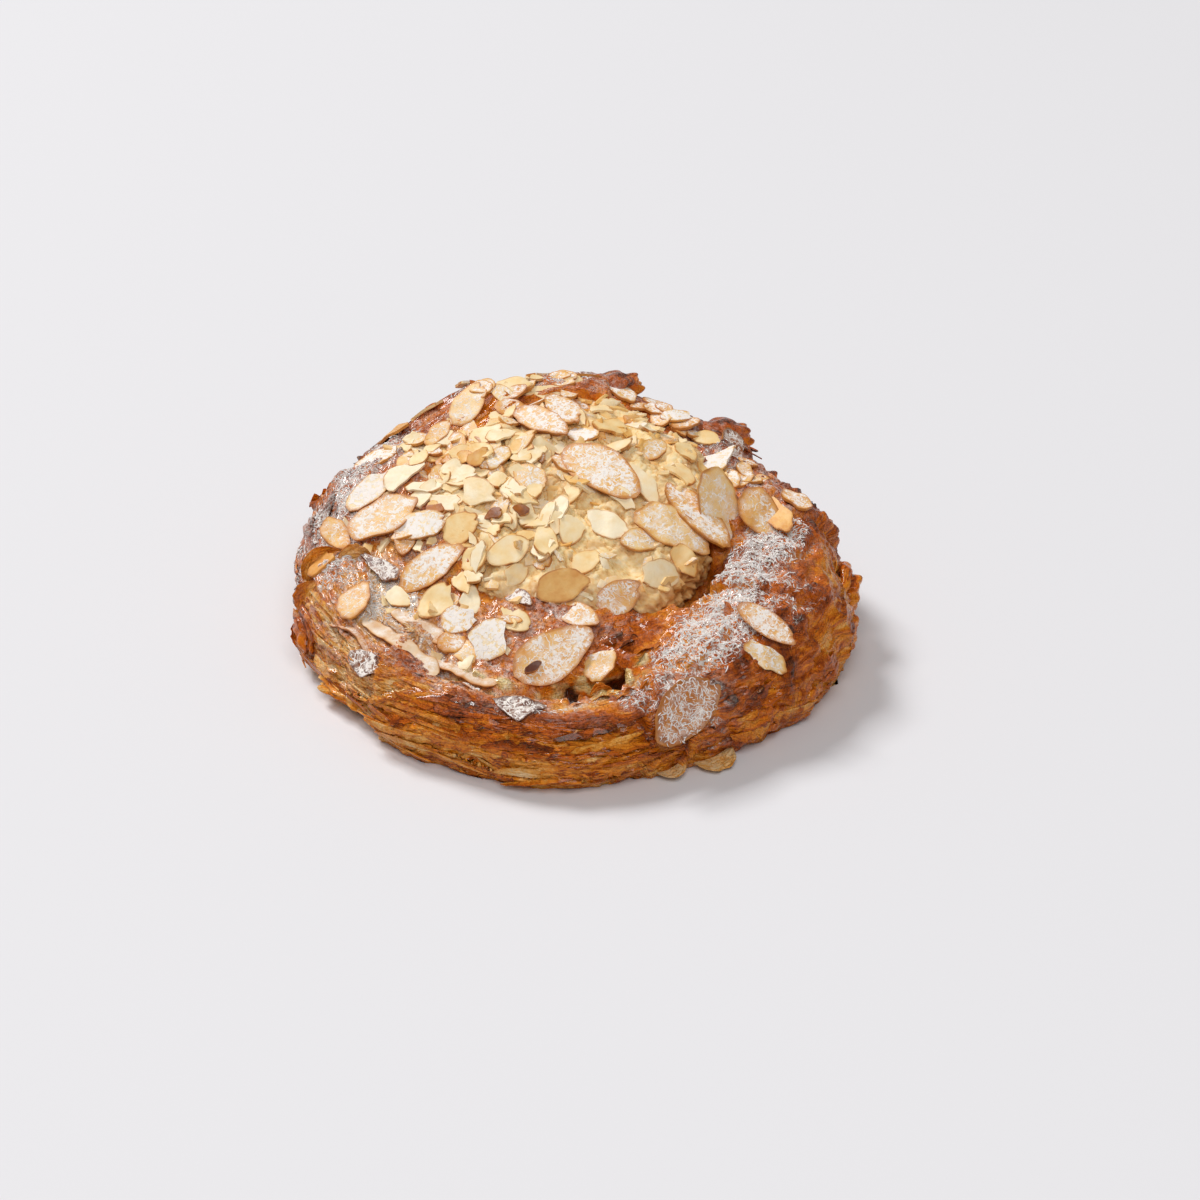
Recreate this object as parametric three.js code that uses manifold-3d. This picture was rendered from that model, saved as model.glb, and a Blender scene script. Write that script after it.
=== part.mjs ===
// An almond croissant: a laminated dough roll curled into a closed crescent, thick at the back and thin at
// the front where its horns meet, with baked almond cream over its middle and flaked almonds over the top.
//
// Millimetres, +Z up. The origin is the centre of the curl on the plane that the croissant rests on, +X to
// the right and -Y towards the side where the horns meet. Angles on the plan are in degrees from +X,
// anticlockwise.

import * as THREE from 'three';
import { mergeVertices } from 'three/addons/utils/BufferGeometryUtils.js';
import Module from 'manifold-3d';

const wasm = await Module();
wasm.setup();

// ---- Driving dimensions ---------------------------------------------------------------------------------

const CLEARANCE = 0.3; // between the pastry and the almond cream that sits in it

// Sizes of the roll every 30 degrees round the curl: the belly's and the ridge's distance from the centre,
// and the ridge's height.
const REACH = [70, 66, 64, 66, 67, 70, 70, 67, 70, 74, 69, 73];
const RIDGE = [50, 46, 45, 46, 48, 50, 52, 54, 59, 63, 53, 53];
const TALL = [31, 34, 40, 47, 45, 37, 29, 24, 20, 18, 23, 28];
const INNER_HALF = 27; // from the ridge to the inner side of the roll
const BELLY = 0.4; // height of the widest place, as a share of the ridge's
const TUCK = 3; // how far the side draws in again below the belly
const SQUARENESS = 2.2; // of the roll's section: 2 is an ellipse, more is squarer

// The middle, which the dough's own mound and the almond cream both follow: highest near the back.
const CROWN = { x: -6, y: 42, z: 46, front: 0.0135, frontPower: 1.7, back: 0.01, side: 0.0022 };
const MOUND = { reach: 49, more: 11, moreAt: 215, below: 2, foot: 8, squareness: 6 };
const BLEND = 3; // how softly the mound runs into the roll

// Where one wrap of the dough ends and the next comes out from under it. Each one swells at its start.
const WRAP_EDGES = [-74, -30, 2, 34, 47, 76, 112, 150, 186, 222];
const WRAP_STEP = 2.8;
const WRAP_SLANT = 0.35; // degrees that an edge turns for each millimetre outwards

// Ledges of flaky layers round the side.
const LEDGE = { apart: 5.2, proud: 1.1, uneven: 0.5 };

// Splits in the top, along the curl: where each starts and ends, its distance, its depth and its half width.
const SPLITS = [
  { from: 222, to: 302, start: 57, end: 49, deep: 7, wide: 2.8 },
  { from: 314, to: 350, start: 35, end: 37, deep: 13, wide: 2.4 },
];

// Baked almond cream: an uneven disc laid over the middle, thickest where it ends in a crumbly cliff.
const CREAM = {
  x: 2, y: 7, halfX: 34, halfY: 37, rim: 4, middle: 8, droop: 2.5, cliff: 7, cliffAt: -35, cliffWide: 35,
};

// Folded ends of dough that stand out of the roll: the middle, the sizes, the turn on the plan, the tip up.
const LOBES = [
  { x: 9, y: 57, z: 37, long: 20, wide: 13, thick: 10, turn: 20, tip: 12 },
  { x: 37, y: 46, z: 28, long: 20, wide: 14, thick: 12, turn: 25, tip: 0 },
  { x: 46, y: 35, z: 23, long: 17, wide: 12, thick: 11, turn: 10, tip: 0 },
  { x: 67, y: -4, z: 14, long: 13, wide: 15, thick: 15, turn: -5, tip: 0 },
  { x: 66, y: -17, z: 11, long: 12, wide: 12, thick: 15, turn: -20, tip: 0 },
  { x: -64, y: -19, z: 12, long: 9, wide: 14, thick: 14, turn: 20, tip: 0 },
  { x: -52, y: -35, z: 5, long: 13, wide: 22, thick: 7, turn: 50, tip: 0 },
];

// Big almond flakes, each where it fell: x, y, the turn of its long way, its length, its width and its tilt.
const BIG_FLAKES = [
  [8, 9, -46, 24, 13, 4], [25, -7, -25, 20, 11, 6], [31, -1, -42, 23, 12, 10], [36, 4, -52, 20, 12, 8],
  [3, 24, -29, 9, 8, 0], [-2, 33, -54, 14, 8, 8], [-7, 27, -47, 19, 8, 5], [-23, 2, -44, 13, 8, 12],
  [27, 12, -48, 11, 8, -6], [18, 7, -61, 16, 6, 10], [-2, -24, 22, 14, 8, 30], [12, -26, 39, 12, 9, 8],
  [4, -18, 43, 9, 6, 10], [22, -20, 2, 11, 8, 5], [28, -14, -40, 9, 6, 20], [-15, -16, 31, 11, 8, 8],
  [-27, -7, 29, 11, 8, 6], [2, -31, -36, 12, 7, 6], [-12, -27, -38, 8, 5, 5],
  [-4, -41, 37, 23, 12, 8], [8, -43, 34, 10, 8, 5], [-19, -37, 47, 14, 10, 6], [-26, -31, 15, 11, 8, 8],
  [-32, -26, 51, 12, 8, 8], [-11, -63, -20, 15, 9, 4], [27, -61, 67, 20, 13, 0], [48, -38, -38, 17, 6, 12],
  [46, -47, -29, 12, 9, 6], [47, 2, -54, 15, 10, 6], [53, 2, -72, 14, 7, 25], [57, 10, -64, 11, 7, 10],
  [38, 24, 62, 14, 8, -8], [42, 33, -47, 11, 8, 6], [13, 48, -59, 12, 7, 6], [-47, 40, -41, 16, 8, 14],
  [-51, 14, 48, 15, 8, 8], [-46, 1, 24, 19, 12, 6], [-34, -16, 40, 19, 9, 8], [-42, 16, 48, 13, 9, 8],
  [-47, -14, -40, 13, 8, 6], [-49, -42, -60, 12, 8, 0], [-60, -10, 19, 11, 6, 25],
];
const FLAKE_THICK = 1.3;
const FLAKE_SIDES = 8;
const FLAKE_SINK = 0.35; // how deep the middle of a flake is pressed in

// Small flakes fall at random: how many, how far apart, and their longest and shortest.
const CREAM_FLAKES = { count: 28, apart: 8.5, longest: 13, shortest: 8 };
const PASTRY_FLAKES = { count: 22, apart: 10, longest: 15, shortest: 9 };
const SEED = 31;

// ---- Small helpers --------------------------------------------------------------------------------------

const { clamp, degToRad: rad, radToDeg, euclideanModulo: modulo, lerp, smoothstep } = THREE.MathUtils;

const onPlan = (degrees, distance) => [distance * Math.cos(rad(degrees)), distance * Math.sin(rad(degrees))];
const angleOf = (x, y) => radToDeg(Math.atan2(y, x));
const wave = (degrees, times, start = 0) => Math.sin(rad(degrees * times + start));

// A quarter of a rounded section: 1 in its middle and 0 at its end, where share is 1.
const rounded = (share, power) => Math.max(0, 1 - share ** power) ** (1 / power);

// A size listed evenly round the curl, at any angle: a closed Catmull-Rom curve through the list.
function around(sizes, degrees) {
  const place = (modulo(degrees, 360) / 360) * sizes.length;
  const i = Math.floor(place);
  const t = place - i;
  const [a, b, c, d] = [-1, 0, 1, 2].map((k) => sizes[(i + k + sizes.length) % sizes.length]);
  return 0.5 * (2 * b + (c - a) * t + (2 * a - 5 * b + 4 * c - d) * t * t + (3 * b - a - 3 * c + d) * t ** 3);
}

// A closed mesh as a solid, from points and triangles.
function solidFrom(points, triangles) {
  const geometry = new THREE.BufferGeometry();
  geometry.setAttribute('position', new THREE.Float32BufferAttribute(points.flat(), 3));
  geometry.setIndex(triangles.flat());
  const merged = mergeVertices(geometry, 1e-4);
  const vertProperties = merged.attributes.position.array;
  const made = new wasm.Manifold(
    new wasm.Mesh({ numProp: 3, vertProperties, triVerts: new Uint32Array(merged.index.array) }),
  );
  if (made.volume() > 0) return made;
  return solidFrom(points, triangles.map(([a, b, c]) => [a, c, b]));
}

// A closed skin over rings of equal length, whose first and last rings are single points.
function solidFromRings(first, rings, last) {
  const n = rings[0].length;
  const points = [first, ...rings.flat(), last];
  const end = points.length - 1;
  const triangles = [];
  const vertex = (ring, k) => 1 + ring * n + (k % n);
  for (let k = 0; k < n; k++) {
    triangles.push([0, vertex(0, k + 1), vertex(0, k)]);
    triangles.push([end, vertex(rings.length - 1, k), vertex(rings.length - 1, k + 1)]);
    for (let ring = 0; ring + 1 < rings.length; ring++) {
      triangles.push([vertex(ring, k), vertex(ring, k + 1), vertex(ring + 1, k)]);
      triangles.push([vertex(ring, k + 1), vertex(ring + 1, k + 1), vertex(ring + 1, k)]);
    }
  }
  return solidFrom(points, triangles);
}

function geometryOf(solid) {
  const mesh = solid.getMesh();
  const points = new Float32Array(mesh.numVert * 3);
  for (let i = 0; i < mesh.numVert; i++) {
    points.set(mesh.vertProperties.subarray(i * mesh.numProp, i * mesh.numProp + 3), i * 3);
  }
  const geometry = new THREE.BufferGeometry();
  geometry.setAttribute('position', new THREE.BufferAttribute(points, 3));
  geometry.setIndex(new THREE.BufferAttribute(new Uint32Array(mesh.triVerts), 1));
  geometry.computeVertexNormals();
  return geometry;
}

// ---- The pastry's surface -------------------------------------------------------------------------------

// A wrap stands proud at its edge and sinks towards the next one.
function wrapSwell(degrees, distance) {
  const place = degrees - WRAP_SLANT * (distance - around(RIDGE, degrees));
  const since = Math.min(...WRAP_EDGES.map((edge) => modulo(place - edge, 360)));
  return WRAP_STEP * (smoothstep(since, 0, 2) * Math.exp(-since / 14) - 0.3);
}

function splitDepth(degrees, distance) {
  let depth = 0;
  for (const split of SPLITS) {
    const along = modulo(degrees - split.from, 360) / (split.to - split.from);
    const open = smoothstep(along, 0, 0.25) * (1 - smoothstep(along, 0.75, 1));
    const wander = 1.6 * wave(degrees, 9) + 0.9 * wave(degrees, 23);
    const off = (distance - lerp(split.start, split.end, clamp(along, 0, 1)) - wander) / split.wide;
    depth += split.deep * open * Math.exp(-off * off);
  }
  return depth;
}

const crown = (x, y) =>
  CROWN.z
  - CROWN.front * Math.max(0, CROWN.y - y) ** CROWN.frontPower
  - CROWN.back * Math.max(0, y - CROWN.y) ** 2
  - CROWN.side * (x - CROWN.x) ** 2;

// Height of the pastry's top at an angle and a distance from the centre.
function topAt(degrees, distance) {
  const [x, y] = onPlan(degrees, distance);
  const ridge = around(RIDGE, degrees);
  const tall = around(TALL, degrees) + wrapSwell(degrees, distance);
  const belly = tall * BELLY;
  const half = distance > ridge ? around(REACH, degrees) - ridge : INNER_HALF;
  const roll = belly + (tall - belly) * rounded(Math.abs(distance - ridge) / half, SQUARENESS);
  const edge = MOUND.reach + MOUND.more * Math.cos(rad(degrees - MOUND.moreAt));
  const full = crown(x, y) - MOUND.below - MOUND.foot;
  const mound = MOUND.foot + full * rounded(distance / edge, MOUND.squareness);
  const apart = roll - mound;
  const highest = (roll + mound + Math.hypot(apart, BLEND) - BLEND * Math.exp(-((apart / 12) ** 2))) / 2;
  return highest - splitDepth(degrees, distance);
}

// The flaky side: the edges of the layers make ledges that run along the roll and wander up and down.
function ledges(degrees, height) {
  const place = (height + 1.2 * wave(degrees, 7) + 0.8 * wave(degrees, 17, 50)) / LEDGE.apart;
  return LEDGE.proud * (modulo(place, 1) - 0.5) + LEDGE.uneven * wave(degrees, 29, height * 20);
}

function pastryBody() {
  const topShares = [0.15, 0.3, 0.44, 0.56, 0.66, 0.74, 0.81, 0.88, 0.94, 1]; // of the way to the ridge
  const outTurns = [20, 36, 50, 62, 72, 81, 90]; // from the ridge over to the belly
  const downShares = [0.75, 0.5, 0.25, 0]; // of the belly's height
  const rings = [...topShares, ...outTurns, ...downShares].map(() => []);
  for (let degrees = 0; degrees < 360; degrees += 4) {
    const ridge = around(RIDGE, degrees);
    const reach = around(REACH, degrees);
    let ring = 0;
    for (const share of topShares) {
      rings[ring++].push([...onPlan(degrees, ridge * share), topAt(degrees, ridge * share)]);
    }
    for (const turn of outTurns) {
      const distance = ridge + (reach - ridge) * Math.sin(rad(turn)) ** (2 / SQUARENESS);
      const height = topAt(degrees, distance);
      const proud = (wrapSwell(degrees, distance) + ledges(degrees, height)) * Math.sin(rad(turn));
      rings[ring++].push([...onPlan(degrees, distance + proud), height]);
    }
    const belly = topAt(degrees, reach);
    for (const share of downShares) {
      const height = belly * share;
      const proud = wrapSwell(degrees, reach) + ledges(degrees, height);
      rings[ring++].push([...onPlan(degrees, reach - TUCK * (1 - share) ** 2 + proud), height]);
    }
  }
  return solidFromRings([0, 0, topAt(0, 0)], rings, [0, 0, 0]);
}

// An uneven ball of dough, squashed to its sizes: the folded end of a wrap.
function lobe({ x, y, z, long, wide, thick, turn, tip }) {
  const ball = new THREE.IcosahedronGeometry(0.5, 3);
  ball.deleteAttribute('normal');
  ball.deleteAttribute('uv');
  const merged = mergeVertices(ball, 1e-4);
  const place = merged.attributes.position;
  const spin = new THREE.Euler(0, -rad(tip), rad(turn), 'ZYX');
  const points = [];
  for (let i = 0; i < place.count; i++) {
    const p = new THREE.Vector3().fromBufferAttribute(place, i);
    const fold = 1 + 0.1 * Math.sin(p.z * 19 + p.x * 6) + 0.05 * Math.sin(p.y * 23);
    p.multiply(new THREE.Vector3(long * fold, wide * fold, thick)).applyEuler(spin);
    points.push([p.x + x, p.y + y, Math.max(0.4, p.z + z)]);
  }
  const triangles = [];
  for (let i = 0; i < merged.index.count; i += 3) triangles.push([...merged.index.array.slice(i, i + 3)]);
  return solidFrom(points, triangles);
}

// ---- The almond cream -----------------------------------------------------------------------------------

function creamEdge(degrees) {
  const oval = 1 / Math.hypot(Math.cos(rad(degrees)) / CREAM.halfX, Math.sin(rad(degrees)) / CREAM.halfY);
  return oval + 1.5 * wave(degrees, 5) + 1.1 * wave(degrees, 11, 40);
}

// How far a place is from the cream's middle, as a share of the way to its edge.
const creamShare = (x, y) =>
  Math.hypot(x - CREAM.x, y - CREAM.y) / creamEdge(angleOf(x - CREAM.x, y - CREAM.y));

// The cream's mean surface: the crown, drooping at its edge.
const creamSkin = (x, y) => crown(x, y) - CREAM.droop * Math.min(1, creamShare(x, y)) ** 8;

function creamTop(x, y) {
  const lumps = 0.9 * Math.sin(x / 2.9 + y / 5.1) * Math.sin(y / 3.3 - x / 6.3);
  const crumbs = 0.6 * Math.sin(x / 1.9) * Math.sin(y / 2.3);
  return creamSkin(x, y) + lumps + crumbs;
}

function creamBottom(x, y) {
  const share = Math.min(1, creamShare(x, y));
  const fromCliff = modulo(angleOf(x - CREAM.x, y - CREAM.y) - CREAM.cliffAt + 180, 360) - 180;
  const cliff = CREAM.cliff * share * Math.exp(-((fromCliff / CREAM.cliffWide) ** 2));
  return creamSkin(x, y) - lerp(CREAM.middle, CREAM.rim, share) - cliff;
}

function cream(grown) {
  const shares = [0.14, 0.28, 0.42, 0.56, 0.7, 0.82, 0.92, 1];
  const rings = [];
  const ringAt = (share, inset, height) => {
    const ring = [];
    for (let degrees = 0; degrees < 360; degrees += 7.5) {
      const [x, y] = onPlan(degrees, share * (creamEdge(degrees) + grown - inset));
      ring.push([x + CREAM.x, y + CREAM.y, height(x + CREAM.x, y + CREAM.y)]);
    }
    rings.push(ring);
  };
  for (const share of shares) ringAt(share, 0, (x, y) => creamTop(x, y) + grown);
  for (const share of [1, 0.7, 0.35]) ringAt(share, 1, (x, y) => creamBottom(x, y) - grown);
  const [x, y] = [CREAM.x, CREAM.y];
  return solidFromRings([x, y, creamTop(x, y) + grown], rings, [x, y, creamBottom(x, y) - grown]);
}

// ---- The almond flakes ----------------------------------------------------------------------------------

const onCream = (x, y) => creamShare(x, y) < 1.05;

const surfaceAt = (x, y) => (onCream(x, y) ? creamTop(x, y) : topAt(angleOf(x, y), Math.hypot(x, y)));

// A leaf-shaped slice with one pointed end, cupped a little, on the surface and tipped about its long way.
function flake([x, y, turn, long, wide, tilt], grown) {
  const step = 1.5;
  const normal = new THREE.Vector3(
    surfaceAt(x - step, y) - surfaceAt(x + step, y),
    surfaceAt(x, y - step) - surfaceAt(x, y + step),
    2 * step,
  ).normalize();
  const along = new THREE.Vector3(...onPlan(turn, 1), 0);
  along.addScaledVector(normal, -along.dot(normal)).normalize();
  normal.applyAxisAngle(along, rad(tilt));
  const across = new THREE.Vector3().crossVectors(normal, along);
  const middle = new THREE.Vector3(x, y, surfaceAt(x, y));
  middle.addScaledVector(normal, FLAKE_THICK / 2 - FLAKE_SINK);
  const place = (a, b, up) =>
    middle.clone().addScaledVector(along, a).addScaledVector(across, b).addScaledVector(normal, up).toArray();
  const rings = [1, -1].map((side) => {
    const ring = [];
    for (let k = 0; k < FLAKE_SIDES; k++) {
      const angle = (2 * Math.PI * k) / FLAKE_SIDES;
      const point = 1 - 0.3 * Math.max(0, Math.cos(angle)) ** 2;
      const cup = 0.04 * long * Math.cos(angle) ** 2;
      const half = side * (FLAKE_THICK / 2 + grown);
      const crosswise = Math.sin(angle) * point * (wide / 2 + grown);
      ring.push(place(Math.cos(angle) * (long / 2 + grown), crosswise, half - cup));
    }
    return ring;
  });
  const half = FLAKE_THICK / 2 + grown;
  return solidFromRings(place(0, 0, half), rings, place(0, 0, -half));
}

// The same draws every time.
let drawn = SEED;
function draw(low, high) {
  drawn = (drawn * 16807) % 2147483647;
  return low + ((high - low) * drawn) / 2147483647;
}

// Small flakes over the cream, or over the back and left of the pastry, clear of the line between the two.
function smallFlakes({ count, apart, longest, shortest }, cream) {
  const found = [];
  for (let tries = 0; tries < 4000 && found.length < count; tries++) {
    const degrees = cream ? draw(0, 360) : draw(55, 232);
    const distance = cream ? 46 * Math.sqrt(draw(0, 1)) : draw(32, around(REACH, degrees) - 9);
    const [x, y] = onPlan(degrees, distance);
    const share = creamShare(x, y);
    const long = draw(shortest, longest);
    const piece = [x, y, draw(-90, 90), long, long * draw(0.5, 0.65), draw(-14, 14)];
    const clear = [...BIG_FLAKES, ...found].every((other) => Math.hypot(other[0] - x, other[1] - y) > apart);
    if (clear && (cream ? share < 0.88 : share > 1.2)) found.push(piece);
  }
  return found;
}

// ---- The part -------------------------------------------------------------------------------------------

// The biggest piece of a solid: loose scraps and sealed hollows go.
const whole = (solid) => solid.decompose().reduce((a, b) => (a.volume() > b.volume() ? a : b));
const joined = (solid, parts) => parts.reduce((made, part) => made.add(part), solid);

const flakes = [...BIG_FLAKES, ...smallFlakes(CREAM_FLAKES, true), ...smallFlakes(PASTRY_FLAKES, false)];
const creamFlakes = flakes.filter(([x, y]) => onCream(x, y));
const pastryFlakes = flakes.filter(([x, y]) => !onCream(x, y));
const creamWith = (grown) => joined(cream(grown), creamFlakes.map((piece) => flake(piece, grown)));
const pastryWith = joined(pastryBody(), [...LOBES.map(lobe), ...pastryFlakes.map((piece) => flake(piece, 0))]);

const croissant = new THREE.Group();

function addMesh(name, solid, color, roughness) {
  const material = new THREE.MeshStandardMaterial({ color, roughness, metalness: 0 });
  const mesh = new THREE.Mesh(geometryOf(solid), material);
  mesh.name = name;
  croissant.add(mesh);
}

addMesh('pastry', whole(pastryWith.subtract(creamWith(CLEARANCE))), 0xb5713a, 0.6);
addMesh('almond_cream', whole(creamWith(0)), 0xe3c98f, 0.8);

export default croissant;
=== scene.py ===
# %% [markdown]
# # An almond croissant
#
# The real thing is a butter croissant, laminated and curled until its horns meet, then split, filled and
# topped with almond cream, strewn with flaked almonds, baked a second time and dusted with icing sugar.
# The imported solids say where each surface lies. This script lays finer surfaces over the same curves,
# colours them from what happens to dough in an oven, and strews almonds and sugar over them. Lengths are
# in millimetres and angles in degrees, unless a comment says otherwise.

# %% Load the frame
import math

import bpy
import numpy as np
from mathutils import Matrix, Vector
from mathutils.kdtree import KDTree


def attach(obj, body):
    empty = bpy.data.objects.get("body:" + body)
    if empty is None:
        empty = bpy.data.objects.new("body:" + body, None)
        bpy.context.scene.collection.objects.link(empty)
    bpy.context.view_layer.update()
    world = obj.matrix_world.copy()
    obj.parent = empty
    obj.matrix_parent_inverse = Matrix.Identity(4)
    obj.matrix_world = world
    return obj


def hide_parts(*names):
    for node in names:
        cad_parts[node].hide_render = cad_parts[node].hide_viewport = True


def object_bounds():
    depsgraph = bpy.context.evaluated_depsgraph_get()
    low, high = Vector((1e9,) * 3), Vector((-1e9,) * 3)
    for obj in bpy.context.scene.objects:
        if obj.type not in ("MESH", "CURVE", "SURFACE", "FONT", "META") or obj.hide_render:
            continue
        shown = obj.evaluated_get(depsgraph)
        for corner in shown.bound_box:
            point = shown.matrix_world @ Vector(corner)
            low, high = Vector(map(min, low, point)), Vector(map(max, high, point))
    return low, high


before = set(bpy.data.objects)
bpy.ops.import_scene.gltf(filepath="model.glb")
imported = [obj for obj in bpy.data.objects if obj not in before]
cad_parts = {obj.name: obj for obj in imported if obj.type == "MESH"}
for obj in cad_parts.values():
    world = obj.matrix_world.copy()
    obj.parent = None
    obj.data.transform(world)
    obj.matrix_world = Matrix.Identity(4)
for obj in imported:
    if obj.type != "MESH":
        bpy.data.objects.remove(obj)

MM = 0.001
CAD_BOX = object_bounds()
LOWEST, HIGHEST = (np.array(corner) / MM for corner in CAD_BOX)
LOW_EDGE, HIGH_EDGE = LOWEST + 0.02, HIGHEST - 0.02  # everything made here stays within these
print("CAD box in millimetres:", LOWEST.round(1), HIGHEST.round(1))


def linear(code):
    """An sRGB hex colour as the linear numbers that Blender works in."""
    parts = [int(code[i:i + 2], 16) / 255 for i in (1, 3, 5)]
    return tuple(c / 12.92 if c <= 0.04045 else ((c + 0.055) / 1.055) ** 2.4 for c in parts) + (1.0,)


def shown(name, data):
    """A new object that holds this data, linked to the scene."""
    made = bpy.data.objects.new(name, data)
    bpy.context.scene.collection.objects.link(made)
    return made


def facing(direction):
    """The turn that points a camera or a lamp along a direction."""
    return direction.to_track_quat("-Z", "Y").to_euler()


# %% [markdown]
# ## The camera
#
# The photograph looks down at the pastry from about thirty degrees with a longish lens, so the outline
# hardly narrows towards the back. The camera is set from that angle first, because everything else is
# judged through it.

# %% Camera
CAMERA = {"lens": 80.0, "film": 36.0, "rise": 31.5, "away": 0.697, "aim": (0.0074, 0.0147, 0.0)}

camera_data = bpy.data.cameras.new("camera")
camera_data.lens = CAMERA["lens"]
camera_data.sensor_width = CAMERA["film"]
camera = shown("camera", camera_data)
rise = math.radians(CAMERA["rise"])
back = Vector((0.0, -math.cos(rise), math.sin(rise)))
camera.location = Vector(CAMERA["aim"]) + back * CAMERA["away"]
camera.rotation_euler = facing(-back)
bpy.context.scene.camera = camera
print("camera at", [round(c, 3) for c in camera.location])

# %% [markdown]
# ## The curl's own curves
#
# The pastry is one roll of dough bent into a ring, high at the back and low where the horns meet. Its
# plan and height are listed every thirty degrees and joined by a smooth closed curve. These are the
# sizes of the solids, so what is drawn here lies where they lie.

# %% Sizes of the roll
REACH = [70, 66, 64, 66, 67, 70, 70, 67, 70, 74, 69, 73]  # the belly's distance from the centre
RIDGE = [50, 46, 45, 46, 48, 50, 52, 54, 59, 63, 53, 53]  # the ridge's distance
TALL = [31, 34, 40, 47, 45, 37, 29, 24, 20, 18, 23, 28]  # the ridge's height
INNER_HALF = 27  # how far the roll reaches inwards from its ridge
BELLY = 0.4  # the belly's height as a share of the ridge's
TUCK = 3.0  # how far the foot draws in under the belly
SQUARENESS = 2.2  # 2 is a round roll, and more is a squarer one
# The dome of cream: its top, and how it falls away to the front, the back and the sides.
CROWN = {"x": -6, "y": 42, "z": 46, "front": 0.0135, "power": 1.7, "back": 0.01, "side": 0.0022}
MOUND = {"reach": 49, "more": 11, "more_at": 215, "below": 2, "foot": 8, "squareness": 6}
BLEND = 3.0  # how softly the roll and the mound in its middle meet
WRAP_EDGES = [-74, -30, 2, 34, 47, 76, 112, 150, 186, 222]  # degrees at which a wrap of dough ends
WRAP_STEP = 2.8  # how far a wrap's edge stands above the next wrap
WRAP_SLANT = 0.35  # how far an edge turns, in degrees for each millimetre outwards
LEDGE = {"apart": 5.2, "proud": 1.1, "uneven": 0.5}
SPLITS = [  # from and to in degrees, start and end distance, depth and half width
    (222, 302, 57, 49, 7, 2.8),
    (314, 350, 35, 37, 13, 2.4),
]


def around(sizes, degrees):
    """A size listed evenly round the curl, at any angle: a closed Catmull-Rom curve."""
    sizes = np.asarray(sizes, float)
    place = np.mod(degrees, 360) / 360 * len(sizes)
    i = np.floor(place).astype(int)
    t = place - i
    a, b, c, d = (sizes[(i + k) % len(sizes)] for k in (-1, 0, 1, 2))
    return 0.5 * (2 * b + (c - a) * t + (2 * a - 5 * b + 4 * c - d) * t**2 + (3 * b - a - 3 * c + d) * t**3)


def wave(degrees, times, start=0.0):
    """A wave that runs a number of times round the curl."""
    return np.sin(np.radians(np.asarray(degrees) * times + start))


def smooth(value, low, high):
    """0 below low and 1 above high, with a soft run between them."""
    t = np.clip((np.asarray(value, float) - low) / (high - low), 0, 1)
    return t * t * (3 - 2 * t)


def rounded(share, power):
    """The height of a round or squarish arch, from 1 in its middle to 0 at its foot."""
    return np.maximum(0, 1 - np.abs(share) ** power) ** (1 / power)


# %% Wraps, splits, crown and ledges
def wrap_place(degrees, distance):
    """The angle along the roll, turned as a wrap's slanting edge turns."""
    return degrees - WRAP_SLANT * (distance - around(RIDGE, degrees))


def wrap_swell(degrees, distance):
    """How far each wrap stands proud: it starts with a step and fades towards the next."""
    place = wrap_place(degrees, distance)
    since = np.min([np.mod(place - edge, 360) for edge in WRAP_EDGES], axis=0)
    return WRAP_STEP * (smooth(since, 0, 2) * np.exp(-since / 14) - 0.3)


def split_share(degrees, distance):
    """How far open each split is at a place: 0 is whole, 1 is its deepest."""
    shares = []
    for start, end, near, far, deep, wide in SPLITS:
        along = np.mod(degrees - start, 360) / (end - start)
        opening = smooth(along, 0, 0.25) * (1 - smooth(along, 0.75, 1))
        wander = 1.6 * wave(degrees, 9) + 0.9 * wave(degrees, 23)
        off = (distance - (near + (far - near) * np.clip(along, 0, 1)) - wander) / wide
        shares.append(opening * np.exp(-off * off))
    return shares


def crown(x, y):
    """The dome that carries the almond cream."""
    return (
        CROWN["z"]
        - CROWN["front"] * np.maximum(0, CROWN["y"] - y) ** CROWN["power"]
        - CROWN["back"] * np.maximum(0, y - CROWN["y"]) ** 2
        - CROWN["side"] * (x - CROWN["x"]) ** 2
    )


def on_plan(degrees, distance):
    """The x and y of an angle and a distance from the centre."""
    return distance * np.cos(np.radians(degrees)), distance * np.sin(np.radians(degrees))


def top_at(degrees, distance):
    """Height of the pastry's top at an angle and a distance from the centre."""
    x, y = on_plan(degrees, distance)
    ridge = around(RIDGE, degrees)
    tall = around(TALL, degrees) + wrap_swell(degrees, distance)
    belly = tall * BELLY
    half = np.where(distance > ridge, around(REACH, degrees) - ridge, INNER_HALF)
    roll = belly + (tall - belly) * rounded((distance - ridge) / half, SQUARENESS)
    edge = MOUND["reach"] + MOUND["more"] * np.cos(np.radians(degrees - MOUND["more_at"]))
    full = crown(x, y) - MOUND["below"] - MOUND["foot"]
    mound = MOUND["foot"] + full * rounded(distance / edge, MOUND["squareness"])
    apart = roll - mound
    highest = (roll + mound + np.hypot(apart, BLEND) - BLEND * np.exp(-((apart / 12) ** 2))) / 2
    depth = sum(split[4] * share for split, share in zip(SPLITS, split_share(degrees, distance)))
    return highest - depth


def ledges(degrees, height):
    """The edges of layers that stand proud of the side wall, one above the other."""
    place = (height + 1.2 * wave(degrees, 7) + 0.8 * wave(degrees, 17, 50)) / LEDGE["apart"]
    return LEDGE["proud"] * (np.mod(place, 1) - 0.5) + LEDGE["uneven"] * wave(degrees, 29, height * 20)


for title, place in (("back", (95.0, 47.0)), ("front lip", (270.0, 63.0))):
    print(title, "is", round(float(top_at(*place)), 1), "mm high")

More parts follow.
